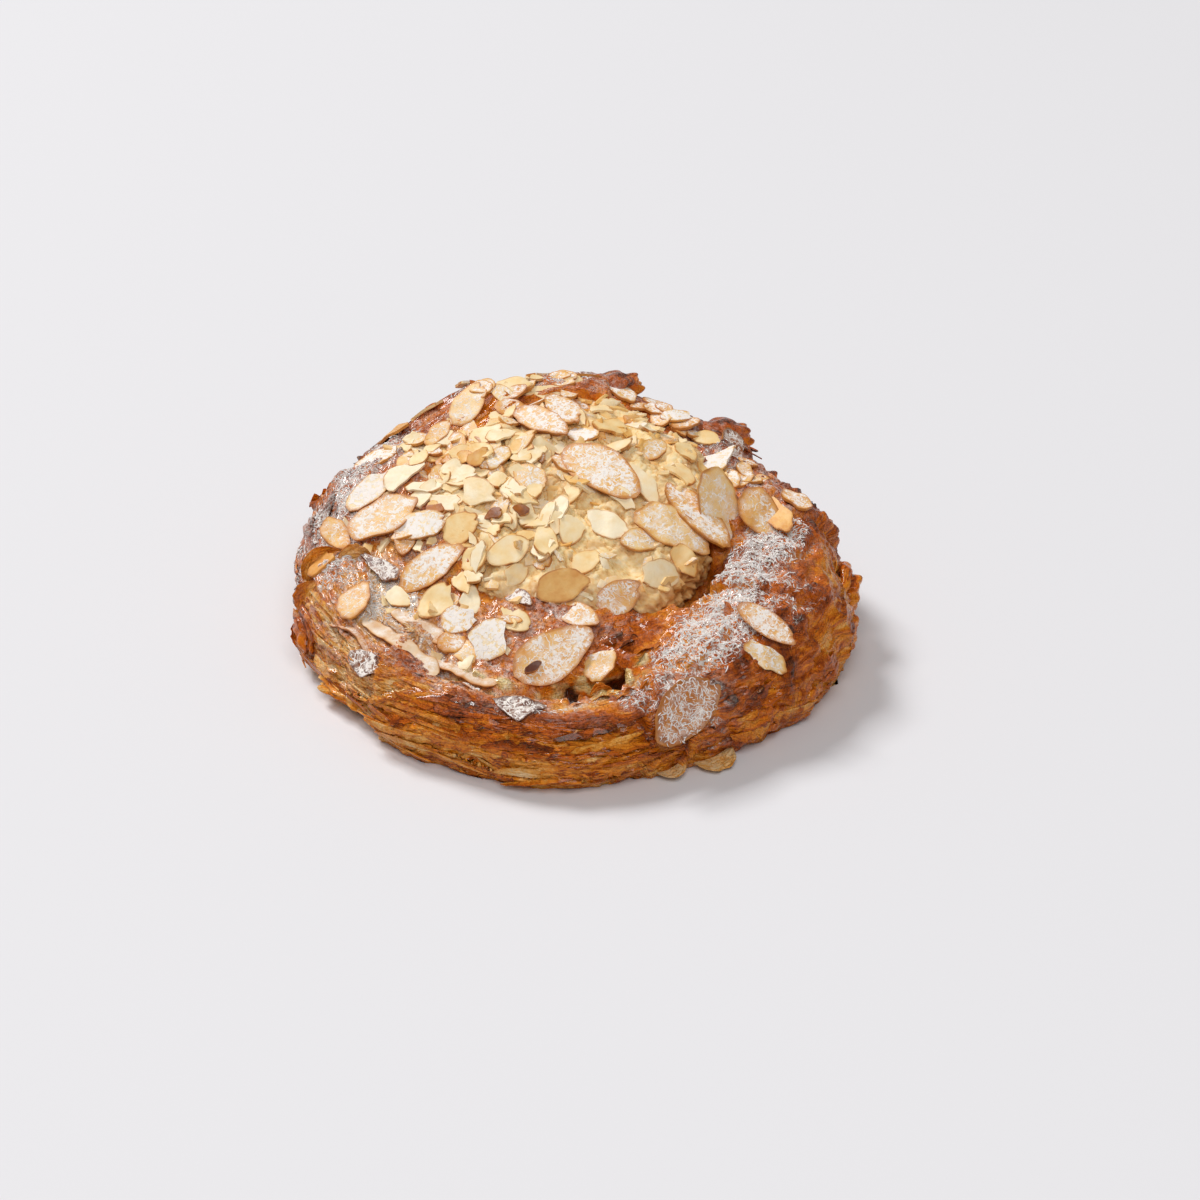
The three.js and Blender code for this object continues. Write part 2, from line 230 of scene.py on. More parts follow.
# %% The almond cream's curves
CREAM = {"x": 2, "y": 7, "half_x": 34, "half_y": 37, "droop": 2.5, "rim": 4, "cliff": 7, "cliff_at": -35}
CREAM_MIDDLE = 8  # how thick the cream is in its middle
CLIFF_WIDE = 35  # degrees


def cream_edge(degrees):
    """The cream's reach at an angle: an oval with a wavering edge."""
    turn = np.radians(degrees)
    oval = 1 / np.hypot(np.cos(turn) / CREAM["half_x"], np.sin(turn) / CREAM["half_y"])
    return oval + 1.5 * wave(degrees, 5) + 1.1 * wave(degrees, 11, 40)


def round_cream(degrees, distance):
    """The place at an angle and a distance from the cream's middle."""
    x, y = on_plan(degrees, distance)
    return x + CREAM["x"], y + CREAM["y"]


def angle_of(x, y):
    """The angle of a place, seen from the centre."""
    return np.degrees(np.arctan2(y, x))


def cream_share(x, y):
    """How far a place is from the cream's middle, as a share of the way to its edge."""
    x, y = np.asarray(x) - CREAM["x"], np.asarray(y) - CREAM["y"]
    return np.hypot(x, y) / cream_edge(angle_of(x, y))


def cream_skin(x, y):
    """The cream's top without its lumps."""
    return crown(x, y) - CREAM["droop"] * np.minimum(1, cream_share(x, y)) ** 8


def cream_top(x, y):
    """The cream's lumpy top, as in the solid."""
    lumps = 0.9 * np.sin(x / 2.9 + y / 5.1) * np.sin(y / 3.3 - x / 6.3)
    return cream_skin(x, y) + lumps + 0.6 * np.sin(x / 1.9) * np.sin(y / 2.3)


def cliff_share(x, y):
    """1 where the cream ends in its crumbly cliff, 0 well away from it."""
    turned = angle_of(np.asarray(x) - CREAM["x"], np.asarray(y) - CREAM["y"]) - CREAM["cliff_at"]
    return np.exp(-(((np.mod(turned + 180, 360) - 180) / CLIFF_WIDE) ** 2))


def cream_bottom(x, y):
    """The cream's underside, which hangs lower at the cliff."""
    share = np.minimum(1, cream_share(x, y))
    thick = CREAM_MIDDLE + (CREAM["rim"] - CREAM_MIDDLE) * share
    return cream_skin(x, y) - thick - CREAM["cliff"] * share * cliff_share(x, y)


def on_cream(x, y):
    """Whether a place lies on the cream."""
    return cream_share(x, y) < 1.05


def surface_at(x, y):
    """The solid's top at a place on the plan."""
    return np.where(on_cream(x, y), cream_top(x, y), top_at(angle_of(x, y), np.hypot(x, y)))


# %% [markdown]
# ## Unevenness
#
# Baked dough is never even: it has lumps, wrinkles that run with the roll, and thin layers that end in
# steps. Three kinds of seeded noise give all of these. One is smooth, one is ridged, and one is made of
# cells, as crumbs are.

# %% Noise
def scramble(cell, seed):
    """An even random number from 0 to 1 for each whole-numbered corner of a grid."""
    mixed = cell[..., 0] * 374761393 + cell[..., 1] * 668265263 + cell[..., 2] * 1442695041
    mixed = mixed + seed * 974634777
    mixed = mixed & 0xFFFFFFFF
    mixed = ((mixed ^ (mixed >> 13)) * 1274126177) & 0xFFFFFFFF
    mixed = ((mixed ^ (mixed >> 15)) * 2246822519) & 0xFFFFFFFF
    return ((mixed ^ (mixed >> 16)) & 0xFFFFFF) / 0xFFFFFF


def scramble_three(cell, seed):
    """Three even random numbers for each corner of a grid."""
    return np.stack([scramble(cell, seed * 3 + axis) for axis in range(3)], axis=1)


def noise(points, size, seed=0):
    """Smooth noise, mostly from -1 to 1, with lumps of this size in millimetres."""
    place = points / size
    cell = np.floor(place).astype(np.int64)
    inside = place - cell
    ease = inside**3 * (inside * (inside * 6 - 15) + 10)
    total = np.zeros(len(points))
    for corner in np.ndindex(2, 2, 2):
        offset = np.array(corner)
        weight = np.prod(np.where(offset, ease, 1 - ease), axis=1)
        slope = scramble_three(cell + offset, seed) * 2 - 1
        total += weight * np.sum(slope * (inside - offset), axis=1)
    return total * 2.0


def layered(points, size, octaves, seed=0):
    """Noise with smaller and weaker noise on top."""
    return sum(noise(points, size / 2**k, seed + k) / 1.8**k for k in range(octaves))


def noise_three(points, size, seed):
    """Smooth noise in each of the three directions."""
    return np.stack([noise(points, size, seed + axis) for axis in range(3)], axis=1)


def cells(points, size, seed=0):
    """Distances to the nearest and second nearest crumb middle, and the nearest one's own number."""
    place = points / size
    home = np.floor(place).astype(np.int64)
    near = np.full(len(points), 9.0)
    second = near.copy()
    number = np.zeros(len(points))
    for step in np.ndindex(3, 3, 3):
        cell = home + (np.array(step) - 1)
        middle = cell + scramble_three(cell, seed)
        gap = np.linalg.norm(place - middle, axis=1)
        closer = gap < near
        second = np.where(closer, near, np.minimum(second, gap))
        number = np.where(closer, scramble(cell, seed + 77), number)
        near = np.minimum(near, gap)
    return near, second, number


def stepped(value, sharp=0.25):
    """Turns a slope into steps, as the broken edges of thin layers are."""
    whole = np.floor(value)
    return whole + smooth(value - whole, 0, sharp)


# %% Meshes from grids
def grid_normals(rows):
    """Outward normals of a grid of rings, closed round its second axis."""
    round_it = np.roll(rows, -1, axis=1) - np.roll(rows, 1, axis=1)
    down_it = np.gradient(rows, axis=0)
    normals = np.cross(down_it, round_it)
    return normals / np.maximum(np.linalg.norm(normals, axis=2, keepdims=True), 1e-9)


def ring_faces(rings, count):
    """Faces of a skin over rings, with a single point before the first and after the last."""
    def at(ring, which):
        return 1 + ring * count + which

    k = np.arange(count)
    after = (k + 1) % count
    faces = np.stack([np.zeros(count, int), at(0, k), at(0, after)], axis=1).tolist()
    for ring in range(rings - 1):
        corners = at(ring, k), at(ring + 1, k), at(ring + 1, after), at(ring, after)
        faces += np.stack(corners, axis=1).tolist()
    end = np.full(count, at(rings, 0))
    return faces + np.stack([end, at(rings - 1, after), at(rings - 1, k)], axis=1).tolist()


def capped(first, values, last):
    """Puts the first and last single point's values round those of the rings between them."""
    return np.concatenate([[first], values, [last]])


def give(mesh, title, numbers):
    """Gives a mesh one number a point, under an attribute's name."""
    mesh.attributes.new(title, "FLOAT", "POINT").data.foreach_set("value", np.asarray(numbers, np.float32))


def piece_from(name, points, faces, values, material, vectors=None, crisp=None):
    """A named object from points in millimetres, with one number a point under each attribute's name."""
    mesh = bpy.data.meshes.new(name)
    inside = np.clip(points, LOW_EDGE, HIGH_EDGE)
    mesh.from_pydata((inside * MM).tolist(), [], faces)
    for title, numbers in values.items():
        give(mesh, title, numbers)
    for title, rows in (vectors or {}).items():
        attribute = mesh.attributes.new(title, "FLOAT_VECTOR", "POINT")
        attribute.data.foreach_set("vector", np.asarray(rows, np.float32).ravel())
    mesh.shade_smooth()
    if crisp:
        mesh.set_sharp_from_angle(angle=math.radians(crisp))
    mesh.materials.append(material)
    moved = float(np.abs(inside - points).max())
    triangles = sum(len(face) - 2 for face in faces)
    print(f"{name}: {len(points)} points, {triangles} triangles, trimmed {moved:.2f} mm")
    return shown(name, mesh)


# %% [markdown]
# ## Where the oven and the sieve worked
#
# Colour on a pastry is a map of heat and hands: the high places brown first, the sides stay amber,
# torn layers show pale dough, and sugar falls where the sieve was shaken. Soft oval patches on the plan
# say where each of these happened. Each patch is x, y, half length, half width, turn and strength.

# %% Patches on the plan
SUGAR = [
    (50, -8, 15, 9, 65, 1.1), (42, -24, 12, 8, 60, 1.5), (37, -36, 12, 9, 30, 1.6), (30, -46, 12, 8, 20, 1.2),
    (17, -58, 9, 5, -10, 0.85), (30, -58, 8, 6, -20, 0.7), (52, -28, 12, 9, 60, 0.45),
    (47, 12, 10, 8, 80, 0.4), (-63, 5, 15, 8, 80, 1.0), (-57, 16, 14, 8, 70, 1.0), (-49, 30, 14, 9, 50, 0.7),
    (-58, -10, 12, 7, 100, 0.85), (-57, -4, 4, 3, 40, 1.3), (-46, -23, 15, 10, 130, 0.75),
    (-34, -30, 13, 9, 150, 0.65), (-48, 2, 12, 9, 60, 0.5), (-20, 50, 13, 9, 20, 0.85),
    (-3, 50, 12, 6, 0, 0.6), (20, 45, 16, 7, -30, 0.4), (38, 28, 16, 8, -50, 0.55), (-6, -62, 13, 3, 5, 0.5),
    (8, -56, 10, 4, 0, 0.6), (-24, -52, 10, 4, 150, 0.65), (-36, -38, 16, 6, 135, 0.45),
    (-44, -44, 9, 5, 130, 0.35), (8, -33, 24, 8, 0, 0.28), (-31, -43, 8, 4, 135, 0.5),
    (-38, -6, 14, 9, 110, 0.4), (-36, 24, 14, 8, 60, 0.35),
]
DARK = [
    (-18, -64, 18, 4, -12, 0.24), (5, -66, 18, 4, 0, 0.14), (20, -60, 12, 6, 10, 0.22),
    (56, -28, 16, 10, 65, 0.16), (50, -44, 17, 10, 40, 0.22), (38, -56, 12, 7, 30, 0.26),
    (60, 0, 14, 7, 90, 0.12), (46, -12, 12, 8, 70, 0.15), (-62, 8, 22, 9, 85, 0.16),
    (-50, 30, 18, 10, 50, 0.18), (9, 60, 12, 6, 10, 0.35), (40, 46, 14, 7, -40, 0.3),
    (-20, 54, 14, 8, 15, 0.3), (30, 38, 16, 7, -45, 0.22), (-38, -46, 7, 4, 135, 0.35),
    (58, 18, 14, 8, 110, 0.28), (14, -36, 15, 8, 20, 0.1), (-36, -8, 18, 6, 100, 0.12),
]
PALE = [
    (-55, -33, 12, 6, 120, 0.12), (-38, -58, 16, 6, 140, 0.1), (-52, -44, 14, 7, 130, 0.08),
    (-44, -28, 20, 13, 130, 0.33), (-40, -4, 22, 9, 100, 0.2), (-21, -49, 12, 3, 165, 0.2),
    (4, -52, 12, 3, 0, 0.3), (24, -24, 8, 5, 20, 0.2), (8, -56, 11, 3, 0, 0.35),
    (-24, -52, 12, 4.5, 150, 0.35), (-38, -44, 12, 6, 130, 0.2), (4, -60, 9, 3, 0, 0.3),
    (-62, -20, 6, 12, 20, 0.15), (66, -12, 8, 12, 0, 0.12), (-38, -8, 18, 9, 105, 0.2),
    (-34, 26, 18, 8, 55, 0.2),
]
POWDER = [
    (-58, 6, 24, 13, 80, 0.46), (-47, 28, 20, 13, 50, 0.36), (-45, -26, 22, 14, 130, 0.46),
    (-30, -38, 22, 10, 140, 0.46), (-8, -33, 17, 9, 0, 0.3), (-27, -52, 14, 6, 155, 0.36),
    (0, -58, 22, 6, 0, 0.24), (40, 30, 22, 13, -50, 0.3), (48, 12, 13, 11, 80, 0.3), (0, 52, 28, 10, 0, 0.3),
    (42, -24, 32, 13, 60, 0.13), (-38, -6, 24, 10, 100, 0.26), (27, -56, 12, 8, 0, 0.2),
]
CRUMB = [  # pale crumb that lies bare in the crack between the horns
    (5, -49.5, 14, 4.5, 3, 1.0), (7, -55, 12, 3.0, 3, 0.85), (-21, -49, 10, 3.5, 165, 0.8),
    (17, -46, 4, 4, 0, 0.8),
]
HOLES = [  # the crumb's large holes, darkened with painted shade
    (1, -49, 5, 2.2, 5, 1.0), (9, -48, 4, 3.0, 0, 1.0), (15, -45, 3, 2, 0, 0.8),
]
SUNKEN_LIP = [(5, -57, 11, 4, 3, 1.0)]
FAN_ROOM = [(67, -10, 9, 17, -12, 1.0)]  # where the folded ends at the right sink in
CALM = [(64, -12, 15, 26, -12, 1.0)]  # the smooth dough round them
PIT = [(34.5, -16, 4.5, 3.0, 60, 1.0)]  # a dent at the cream's right edge, darkened with painted shade
FEW_BITS = [(4, -6, 16, 12, 0, 1.0)]  # the middle of the cream, which is nearly bare


def patches(rows, x, y):
    """How strongly the patches cover each place on the plan."""
    cover = np.zeros(np.shape(x))
    for px, py, long, wide, turn, strength in rows:
        c, s = math.cos(math.radians(turn)), math.sin(math.radians(turn))
        along = ((x - px) * c + (y - py) * s) / long
        across = ((y - py) * c - (x - px) * s) / wide
        cover = np.maximum(cover, strength * np.exp(-((along**2 + across**2) ** 1.3)))
    return cover


# %% [markdown]
# ## Materials
#
# Laminated dough bakes to a thin glassy skin over pale layers. One ramp runs from raw dough to burnt
# sugar, and each point's own `bake` picks a place on it. Sugar lies on top as a thin haze and as short
# white fibres and clumps, which is how icing sugar looks where it has met butter.

# %% A node with its settings and links
def add(tree, kind, inputs=None, ramp=None, **settings):
    """Adds a node: settings are its properties, and inputs are values, sockets, or nodes that feed it."""
    whole_name = kind if kind.startswith(("Geometry", "Function", "NodeGroup")) else "ShaderNode" + kind
    made = tree.nodes.new(whole_name)
    for name, value in settings.items():
        setattr(made, name, value)
    for name, value in (inputs or {}).items():
        if isinstance(value, bpy.types.Node):
            value = next(socket for socket in value.outputs if socket.enabled)
        if isinstance(value, bpy.types.NodeSocket):
            tree.links.new(value, made.inputs[name])
        else:
            made.inputs[name].default_value = value
    if ramp:
        elements = made.color_ramp.elements
        while len(elements) < len(ramp):
            elements.new(0.5)
        for element, (position, colour) in zip(elements, ramp):
            element.position = position
            element.color = linear(colour)
    return made


def new_material(name):
    """A material with an empty node tree, and that tree."""
    material = bpy.data.materials.new(name)
    material.use_nodes = True
    tree = material.node_tree
    tree.nodes.clear()
    return material, tree


def per_metre(size_mm):
    """A texture's scale for features of a size in millimetres."""
    return 1000.0 / size_mm


def veins(tree, field, level, width, on=1.0, off=0.0):
    """Thin lines where a noise crosses a level: on where it does, off where it is this far from it."""
    away = add(tree, "Math", {0: field, 1: level}, operation="SUBTRACT")
    apart = add(tree, "Math", {0: away}, operation="ABSOLUTE")
    return add(tree, "MapRange", {"Value": apart, 1: 0.0, 2: width, 3: on, 4: off})


# %% Icing sugar as a thin haze and tangled threads, for any material under it
SUGAR_WHITE = "#fbf2ea"
THREADS = [(3.0, 0.0), (2.2, 3.7), (1.6, 8.1)]  # size of the tangle in mm, and where its noise is read


def sugared(tree, colour, roughness, amount, height, powder):
    """Lays icing sugar over a colour: returns the new colour, roughness and height."""
    place = add(tree, "TexCoord").outputs["Object"]
    drift = add(tree, "TexNoise", {"Vector": place, "Scale": per_metre(4.0), "Detail": 4.0})
    uneven = add(tree, "Math", {0: drift, 1: 1.6, 2: -0.8}, operation="MULTIPLY_ADD")
    laid = add(tree, "Math", {0: amount, 1: uneven}, operation="ADD")
    present = add(tree, "MapRange", {"Value": amount, 1: 0.03, 2: 0.3})
    some = add(tree, "Math", {0: laid, 1: 0.0}, operation="MAXIMUM")
    held = add(tree, "Math", {0: some, 1: present}, operation="MULTIPLY")
    reach = add(tree, "Math", {0: held, 1: 0.036}, operation="MULTIPLY")
    # A second noise breaks the threads into short lengths.
    gaps = add(tree, "TexNoise", {"Vector": place, "Scale": per_metre(1.1), "Detail": 1.0})
    whole = add(tree, "MapRange", {"Value": gaps, 1: 0.38, 2: 0.46})
    white = 0.0
    for size, drawn_at in THREADS:
        thread = add(tree, "TexNoise", {
            "Vector": place, "Scale": per_metre(size), "W": drawn_at, "Detail": 1.0}, noise_dimensions="4D")
        off = add(tree, "Math", {0: thread, 1: 0.5}, operation="SUBTRACT")
        apart = add(tree, "Math", {0: off}, operation="ABSOLUTE")
        over = add(tree, "Math", {0: reach, 1: apart}, operation="SUBTRACT")
        seen = add(tree, "MapRange", {"Value": over, 1: 0.0, 2: 0.016})
        white = add(tree, "Math", {0: white, 1: seen}, operation="MAXIMUM")
    white = add(tree, "Math", {0: white, 1: whole}, operation="MULTIPLY")
    # The haze is made of grains and small clots, which leave the hollows bare.
    patchy = add(tree, "MapRange", {"Value": drift, 1: 0.34, 2: 0.66, 3: 0.15, 4: 1.6})
    sifted = add(tree, "Math", {0: powder, 1: patchy}, operation="MULTIPLY")
    grains = add(tree, "TexNoise", {
        "Vector": place, "Scale": per_metre(1.3), "Detail": 4.0, "Roughness": 0.75})
    clots = add(tree, "MapRange", {"Value": grains, 1: 0.42, 2: 0.6, 3: 0.15, 4: 2.0})
    haze = add(tree, "Math", {0: sifted, 1: clots}, operation="MULTIPLY", use_clamp=True)
    cover = add(tree, "Math", {0: white, 1: haze}, operation="MAXIMUM")
    mixed = add(tree, "Mix", {0: cover, 6: colour, 7: linear(SUGAR_WHITE)}, data_type="RGBA")
    rough = add(tree, "Mix", {0: cover, 2: roughness, 3: 0.9}, data_type="FLOAT")
    raised = add(tree, "Math", {0: white, 1: 0.9, 2: height}, operation="MULTIPLY_ADD")
    return mixed, rough, raised


# %% Baked laminated dough with an egg wash: a thin, glossy, amber skin
crust_material, tree = new_material("baked_laminated_dough")
bake, crumb, dust, powder, flank = (
    add(tree, "Attribute", attribute_name=name).outputs["Fac"]
    for name in ("bake", "crumb", "dust", "powder", "flank"))
lay = add(tree, "Attribute", attribute_name="lay").outputs["Vector"]
place = add(tree, "TexCoord").outputs["Object"]
# Streaks run with the roll: the lay attribute is in millimetres, stretched across the roll, so the scales
# of the three noises that read it are per millimetre.
streaks = add(tree, "TexNoise", {"Vector": lay, "Scale": 0.13, "Detail": 4.0, "Roughness": 0.55})
lines = add(tree, "TexNoise", {"Vector": lay, "Scale": 0.26, "Detail": 3.0, "Roughness": 0.5})
fine = add(tree, "TexNoise", {"Vector": lay, "Scale": 0.45, "Detail": 3.0, "Roughness": 0.5})
blotches = add(tree, "TexNoise", {"Vector": place, "Scale": per_metre(7.0), "Detail": 3.0})
specks = add(tree, "TexNoise", {"Vector": place, "Scale": per_metre(1.6), "Detail": 2.0})
crackle = add(tree, "TexNoise", {"Vector": place, "Scale": per_metre(1.5), "Detail": 2.0, "Distortion": 0.6})
wrinkles = add(tree, "TexNoise", {"Vector": place, "Scale": per_metre(2.6), "Detail": 2.0, "Distortion": 0.9})
# Dark seams part the sheets on the flanks and the egg wash on top is finely crackled: their dark lines in the
# colour are painted shade in the gaps and cracks.
shaded_seams = add(tree, "Math", {0: veins(tree, lines, 0.5, 0.05), 1: flank}, operation="MULTIPLY")
on_top = add(tree, "Math", {0: flank, 1: -0.8, 2: 1.0}, operation="MULTIPLY_ADD")
shaded_cracks = add(tree, "Math", {0: veins(tree, crackle, 0.5, 0.045), 1: on_top}, operation="MULTIPLY")
heat = bake
for field, share in ((streaks, 0.52), (blotches, 0.62), (specks, 0.12), (shaded_seams, 0.28), (shaded_cracks, 0.14)):
    heat = add(tree, "Math", {0: field, 1: share, 2: heat}, operation="MULTIPLY_ADD")
centred = add(tree, "Math", {0: heat, 1: 0.66}, operation="SUBTRACT", use_clamp=True)
crust = add(tree, "ValToRGB", {0: centred}, ramp=[
    (0.0, "#f6d09a"), (0.15, "#f3b058"), (0.32, "#ea8c1c"), (0.5, "#d06705"), (0.68, "#a04400"),
    (0.85, "#5c2502"), (1.0, "#2e1004"),
])
# Each sheet of dough ends in a thin pale edge beside a dark seam: the pale line is a painted highlight,
# glints along the sheets' edges, as well as the thin dry edge itself.
broken = add(tree, "MapRange", {"Value": specks, 1: 0.44, 2: 0.58, 3: 0.0, 4: 0.75})
kept = add(tree, "Math", {0: veins(tree, lines, 0.565, 0.022), 1: broken}, operation="MULTIPLY")
edge_and_glint = add(tree, "Math", {0: kept, 1: flank}, operation="MULTIPLY")
edged_with_glint = add(tree, "Mix", {0: edge_and_glint, 6: crust, 7: linear("#f0a74e")}, data_type="RGBA")
inside = add(tree, "ValToRGB", {0: specks}, ramp=[
    (0.25, "#b3803c"), (0.42, "#e0bc76"), (0.58, "#f3dfa9"), (0.75, "#fbf0d2"),
])
opened = add(tree, "Mix", {0: crumb, 6: edged_with_glint, 7: inside}, data_type="RGBA")
shine = add(tree, "MapRange", {"Value": blotches, 1: 0.3, 2: 0.7, 3: 0.22, 4: 0.45})
matt = add(tree, "Mix", {0: crumb, 2: shine, 3: 0.75}, data_type="FLOAT")
relief = 0.0
for field, share in ((specks, 0.35), (fine, 2.2), (shaded_seams, -2.0), (edge_and_glint, 1.2), (shaded_cracks, -0.7)):
    relief = add(tree, "Math", {0: field, 1: share, 2: relief}, operation="MULTIPLY_ADD")
coloured, roughened, raised = sugared(tree, opened, matt, dust, relief, powder)
wrinkled = veins(tree, wrinkles, 0.5, 0.12, on=0.0, off=1.0)
broad = add(tree, "Bump", {"Height": wrinkled, "Strength": 0.5, "Distance": 0.0006})
bumped = add(tree, "Bump", {"Height": raised, "Strength": 0.7, "Distance": 0.0004, "Normal": broad})
surface = add(tree, "BsdfPrincipled", {
    "Base Color": coloured, "Roughness": roughened, "Normal": bumped, "IOR": 1.42,
    "Specular IOR Level": 0.1, "Coat Weight": 0.45, "Coat Roughness": 0.07,
    "Subsurface Weight": 0.03, "Subsurface Scale": 0.001, "Subsurface Radius": (1.0, 0.45, 0.2),
})
add(tree, "OutputMaterial", {"Surface": surface})
print("material:", crust_material.name)

# %% The inside of a torn layer: pale dough that never met the oven's air, browned only along its edges
layer_material, tree = new_material("torn_dough_layer")
bake, powder = (add(tree, "Attribute", attribute_name=name).outputs["Fac"] for name in ("bake", "powder"))
place = add(tree, "TexCoord").outputs["Object"]
mottle = add(tree, "TexNoise", {"Vector": place, "Scale": per_metre(3.0), "Detail": 4.0, "Roughness": 0.6})
warm = add(tree, "Math", {0: mottle, 1: 0.5, 2: bake}, operation="MULTIPLY_ADD")
dough = add(tree, "ValToRGB", {0: warm}, ramp=[
    (0.15, "#f2d8b8"), (0.32, "#e8c49a"), (0.5, "#d9a066"), (0.75, "#bd7430"), (1.0, "#8a4512"),
])
coloured, roughened, raised = sugared(tree, dough, 0.55, powder, mottle, powder)
bumped = add(tree, "Bump", {"Height": raised, "Strength": 0.4, "Distance": 0.0003})
surface = add(tree, "BsdfPrincipled", {
    "Base Color": coloured, "Roughness": roughened, "Normal": bumped, "IOR": 1.42,
})
add(tree, "OutputMaterial", {"Surface": surface})
print("material:", layer_material.name)

# %% Baked almond cream: a pale, coarse, moist crumb
cream_material, tree = new_material("baked_almond_cream")
crumb, toast, dust = (
    add(tree, "Attribute", attribute_name=name).outputs["Fac"] for name in ("crumb", "toast", "dust"))
place = add(tree, "TexCoord").outputs["Object"]
grain = add(tree, "TexNoise", {"Vector": place, "Scale": per_metre(0.9), "Detail": 4.0, "Roughness": 0.6})
tint = add(tree, "TexNoise", {"Vector": place, "Scale": per_metre(5.0), "Detail": 3.0})
ground = add(tree, "Math", {0: grain, 1: 0.45, 2: crumb}, operation="MULTIPLY_ADD")
paste = add(tree, "ValToRGB", {0: ground}, ramp=[
    (0.05, "#c58a42"), (0.3, "#e9bd7a"), (0.55, "#f6d79d"), (0.8, "#fbe6bb"), (1.0, "#fdf0d4"),
])
warm = add(tree, "Math", {0: tint, 1: 0.5, 2: toast}, operation="MULTIPLY_ADD")
heat = add(tree, "MapRange", {"Value": warm, 1: 0.45, 2: 1.3})
toasted = add(tree, "Mix", {0: heat, 6: paste, 7: linear("#c98a4c")}, data_type="RGBA")
haze = add(tree, "Math", {0: dust, 1: 0.3}, operation="MULTIPLY")
coloured, roughened, raised = sugared(tree, toasted, 0.6, dust, grain, haze)
bumped = add(tree, "Bump", {"Height": raised, "Strength": 0.6, "Distance": 0.0003})
surface = add(tree, "BsdfPrincipled", {
    "Base Color": coloured, "Roughness": roughened, "Normal": bumped, "IOR": 1.42,
    "Subsurface Weight": 0.12, "Subsurface Scale": 0.003, "Subsurface Radius": (1.0, 0.7, 0.35),
})
add(tree, "OutputMaterial", {"Surface": surface})
print("material:", cream_material.name)

# %% Sliced almond with its brown skin left on the rim
almond_material, tree = new_material("sliced_almond")
rim, toast, dust, tone = (
    add(tree, "Attribute", attribute_name=name).outputs["Fac"] for name in ("rim", "toast", "dust", "tone"))
place = add(tree, "TexCoord").outputs["Object"]
mottle = add(tree, "TexNoise", {"Vector": place, "Scale": per_metre(3.0), "Detail": 4.0})
pores = add(tree, "TexNoise", {"Vector": place, "Scale": per_metre(0.7), "Detail": 3.0})
warm = add(tree, "Math", {0: mottle, 1: 0.48, 2: toast}, operation="MULTIPLY_ADD")
shifted = add(tree, "Math", {0: tone, 1: 0.18, 2: warm}, operation="MULTIPLY_ADD")
heat = add(tree, "Math", {0: shifted, 1: 0.35}, operation="SUBTRACT", use_clamp=True)
flesh = add(tree, "ValToRGB", {0: heat}, ramp=[
    (0.0, "#fbeac8"), (0.2, "#f8d89e"), (0.4, "#efba68"), (0.58, "#de963c"), (0.78, "#b4661c"),
    (1.0, "#5c2608"),
])
edge = add(tree, "MapRange", {"Value": rim, 1: 0.9, 2: 0.96})
worn = add(tree, "MapRange", {"Value": mottle, 1: 0.38, 2: 0.6, 3: 0.2, 4: 0.95})
skinned = add(tree, "Math", {0: edge, 1: worn}, operation="MULTIPLY")
browned = add(tree, "Mix", {0: skinned, 6: flesh, 7: linear("#c07a36")}, data_type="RGBA")
haze = add(tree, "Math", {0: dust, 1: 0.42}, operation="MULTIPLY")
coloured, roughened, raised = sugared(tree, browned, 0.45, dust, pores, haze)
bumped = add(tree, "Bump", {"Height": raised, "Strength": 0.45, "Distance": 0.0002})
surface = add(tree, "BsdfPrincipled", {
    "Base Color": coloured, "Roughness": roughened, "Normal": bumped, "IOR": 1.45,
    "Subsurface Weight": 0.04, "Subsurface Scale": 0.001, "Subsurface Radius": (1.0, 0.8, 0.5),
})
add(tree, "OutputMaterial", {"Surface": surface})
print("material:", almond_material.name)

# %% Icing sugar in clumps: tiny sucrose crystals that scatter all light
sugar_material, tree = new_material("icing_sugar_clumps")
place = add(tree, "TexCoord").outputs["Object"]
powder = add(tree, "TexNoise", {"Vector": place, "Scale": per_metre(0.4), "Detail": 2.0})
shade = add(tree, "ValToRGB", {0: powder}, ramp=[(0.3, "#f4ede7"), (0.6, "#fefcfa")])
surface = add(tree, "BsdfPrincipled", {
    "Base Color": shade, "Roughness": 0.9, "Subsurface Weight": 0.3, "Subsurface Scale": 0.0006,
    "Subsurface Radius": (1.0, 0.95, 0.9),
})
add(tree, "OutputMaterial", {"Surface": surface})
print("material:", sugar_material.name)

# %% [markdown]
# ## The pastry
#
# The dough could be sculpted, or grown from rolled sheets, but a ring-shaped roll is simplest as rings:
# each ring of points runs once round the curl, and the rings climb from the middle over the ridge, down
# the side and under. The skin is then pushed along its normals by the noises above, with each kind only
# where the real dough shows it.

# %% Rings over the roll
AROUND = 450  # points round each ring
RING_SHARES = np.concatenate([np.linspace(0.06, 0.46, 8), np.linspace(0.5, 1, 72)])  # centre to ridge
RING_TURNS = np.linspace(0, 90, 91)[1:]  # over the shoulder, from the ridge out to the belly
RING_DOWN = np.linspace(1, 0, 36)[1:]  # down the wall, as shares of the belly's height
LEDGES_HERE = 0.6  # the share of the solids' ledges that is kept under the finer layers

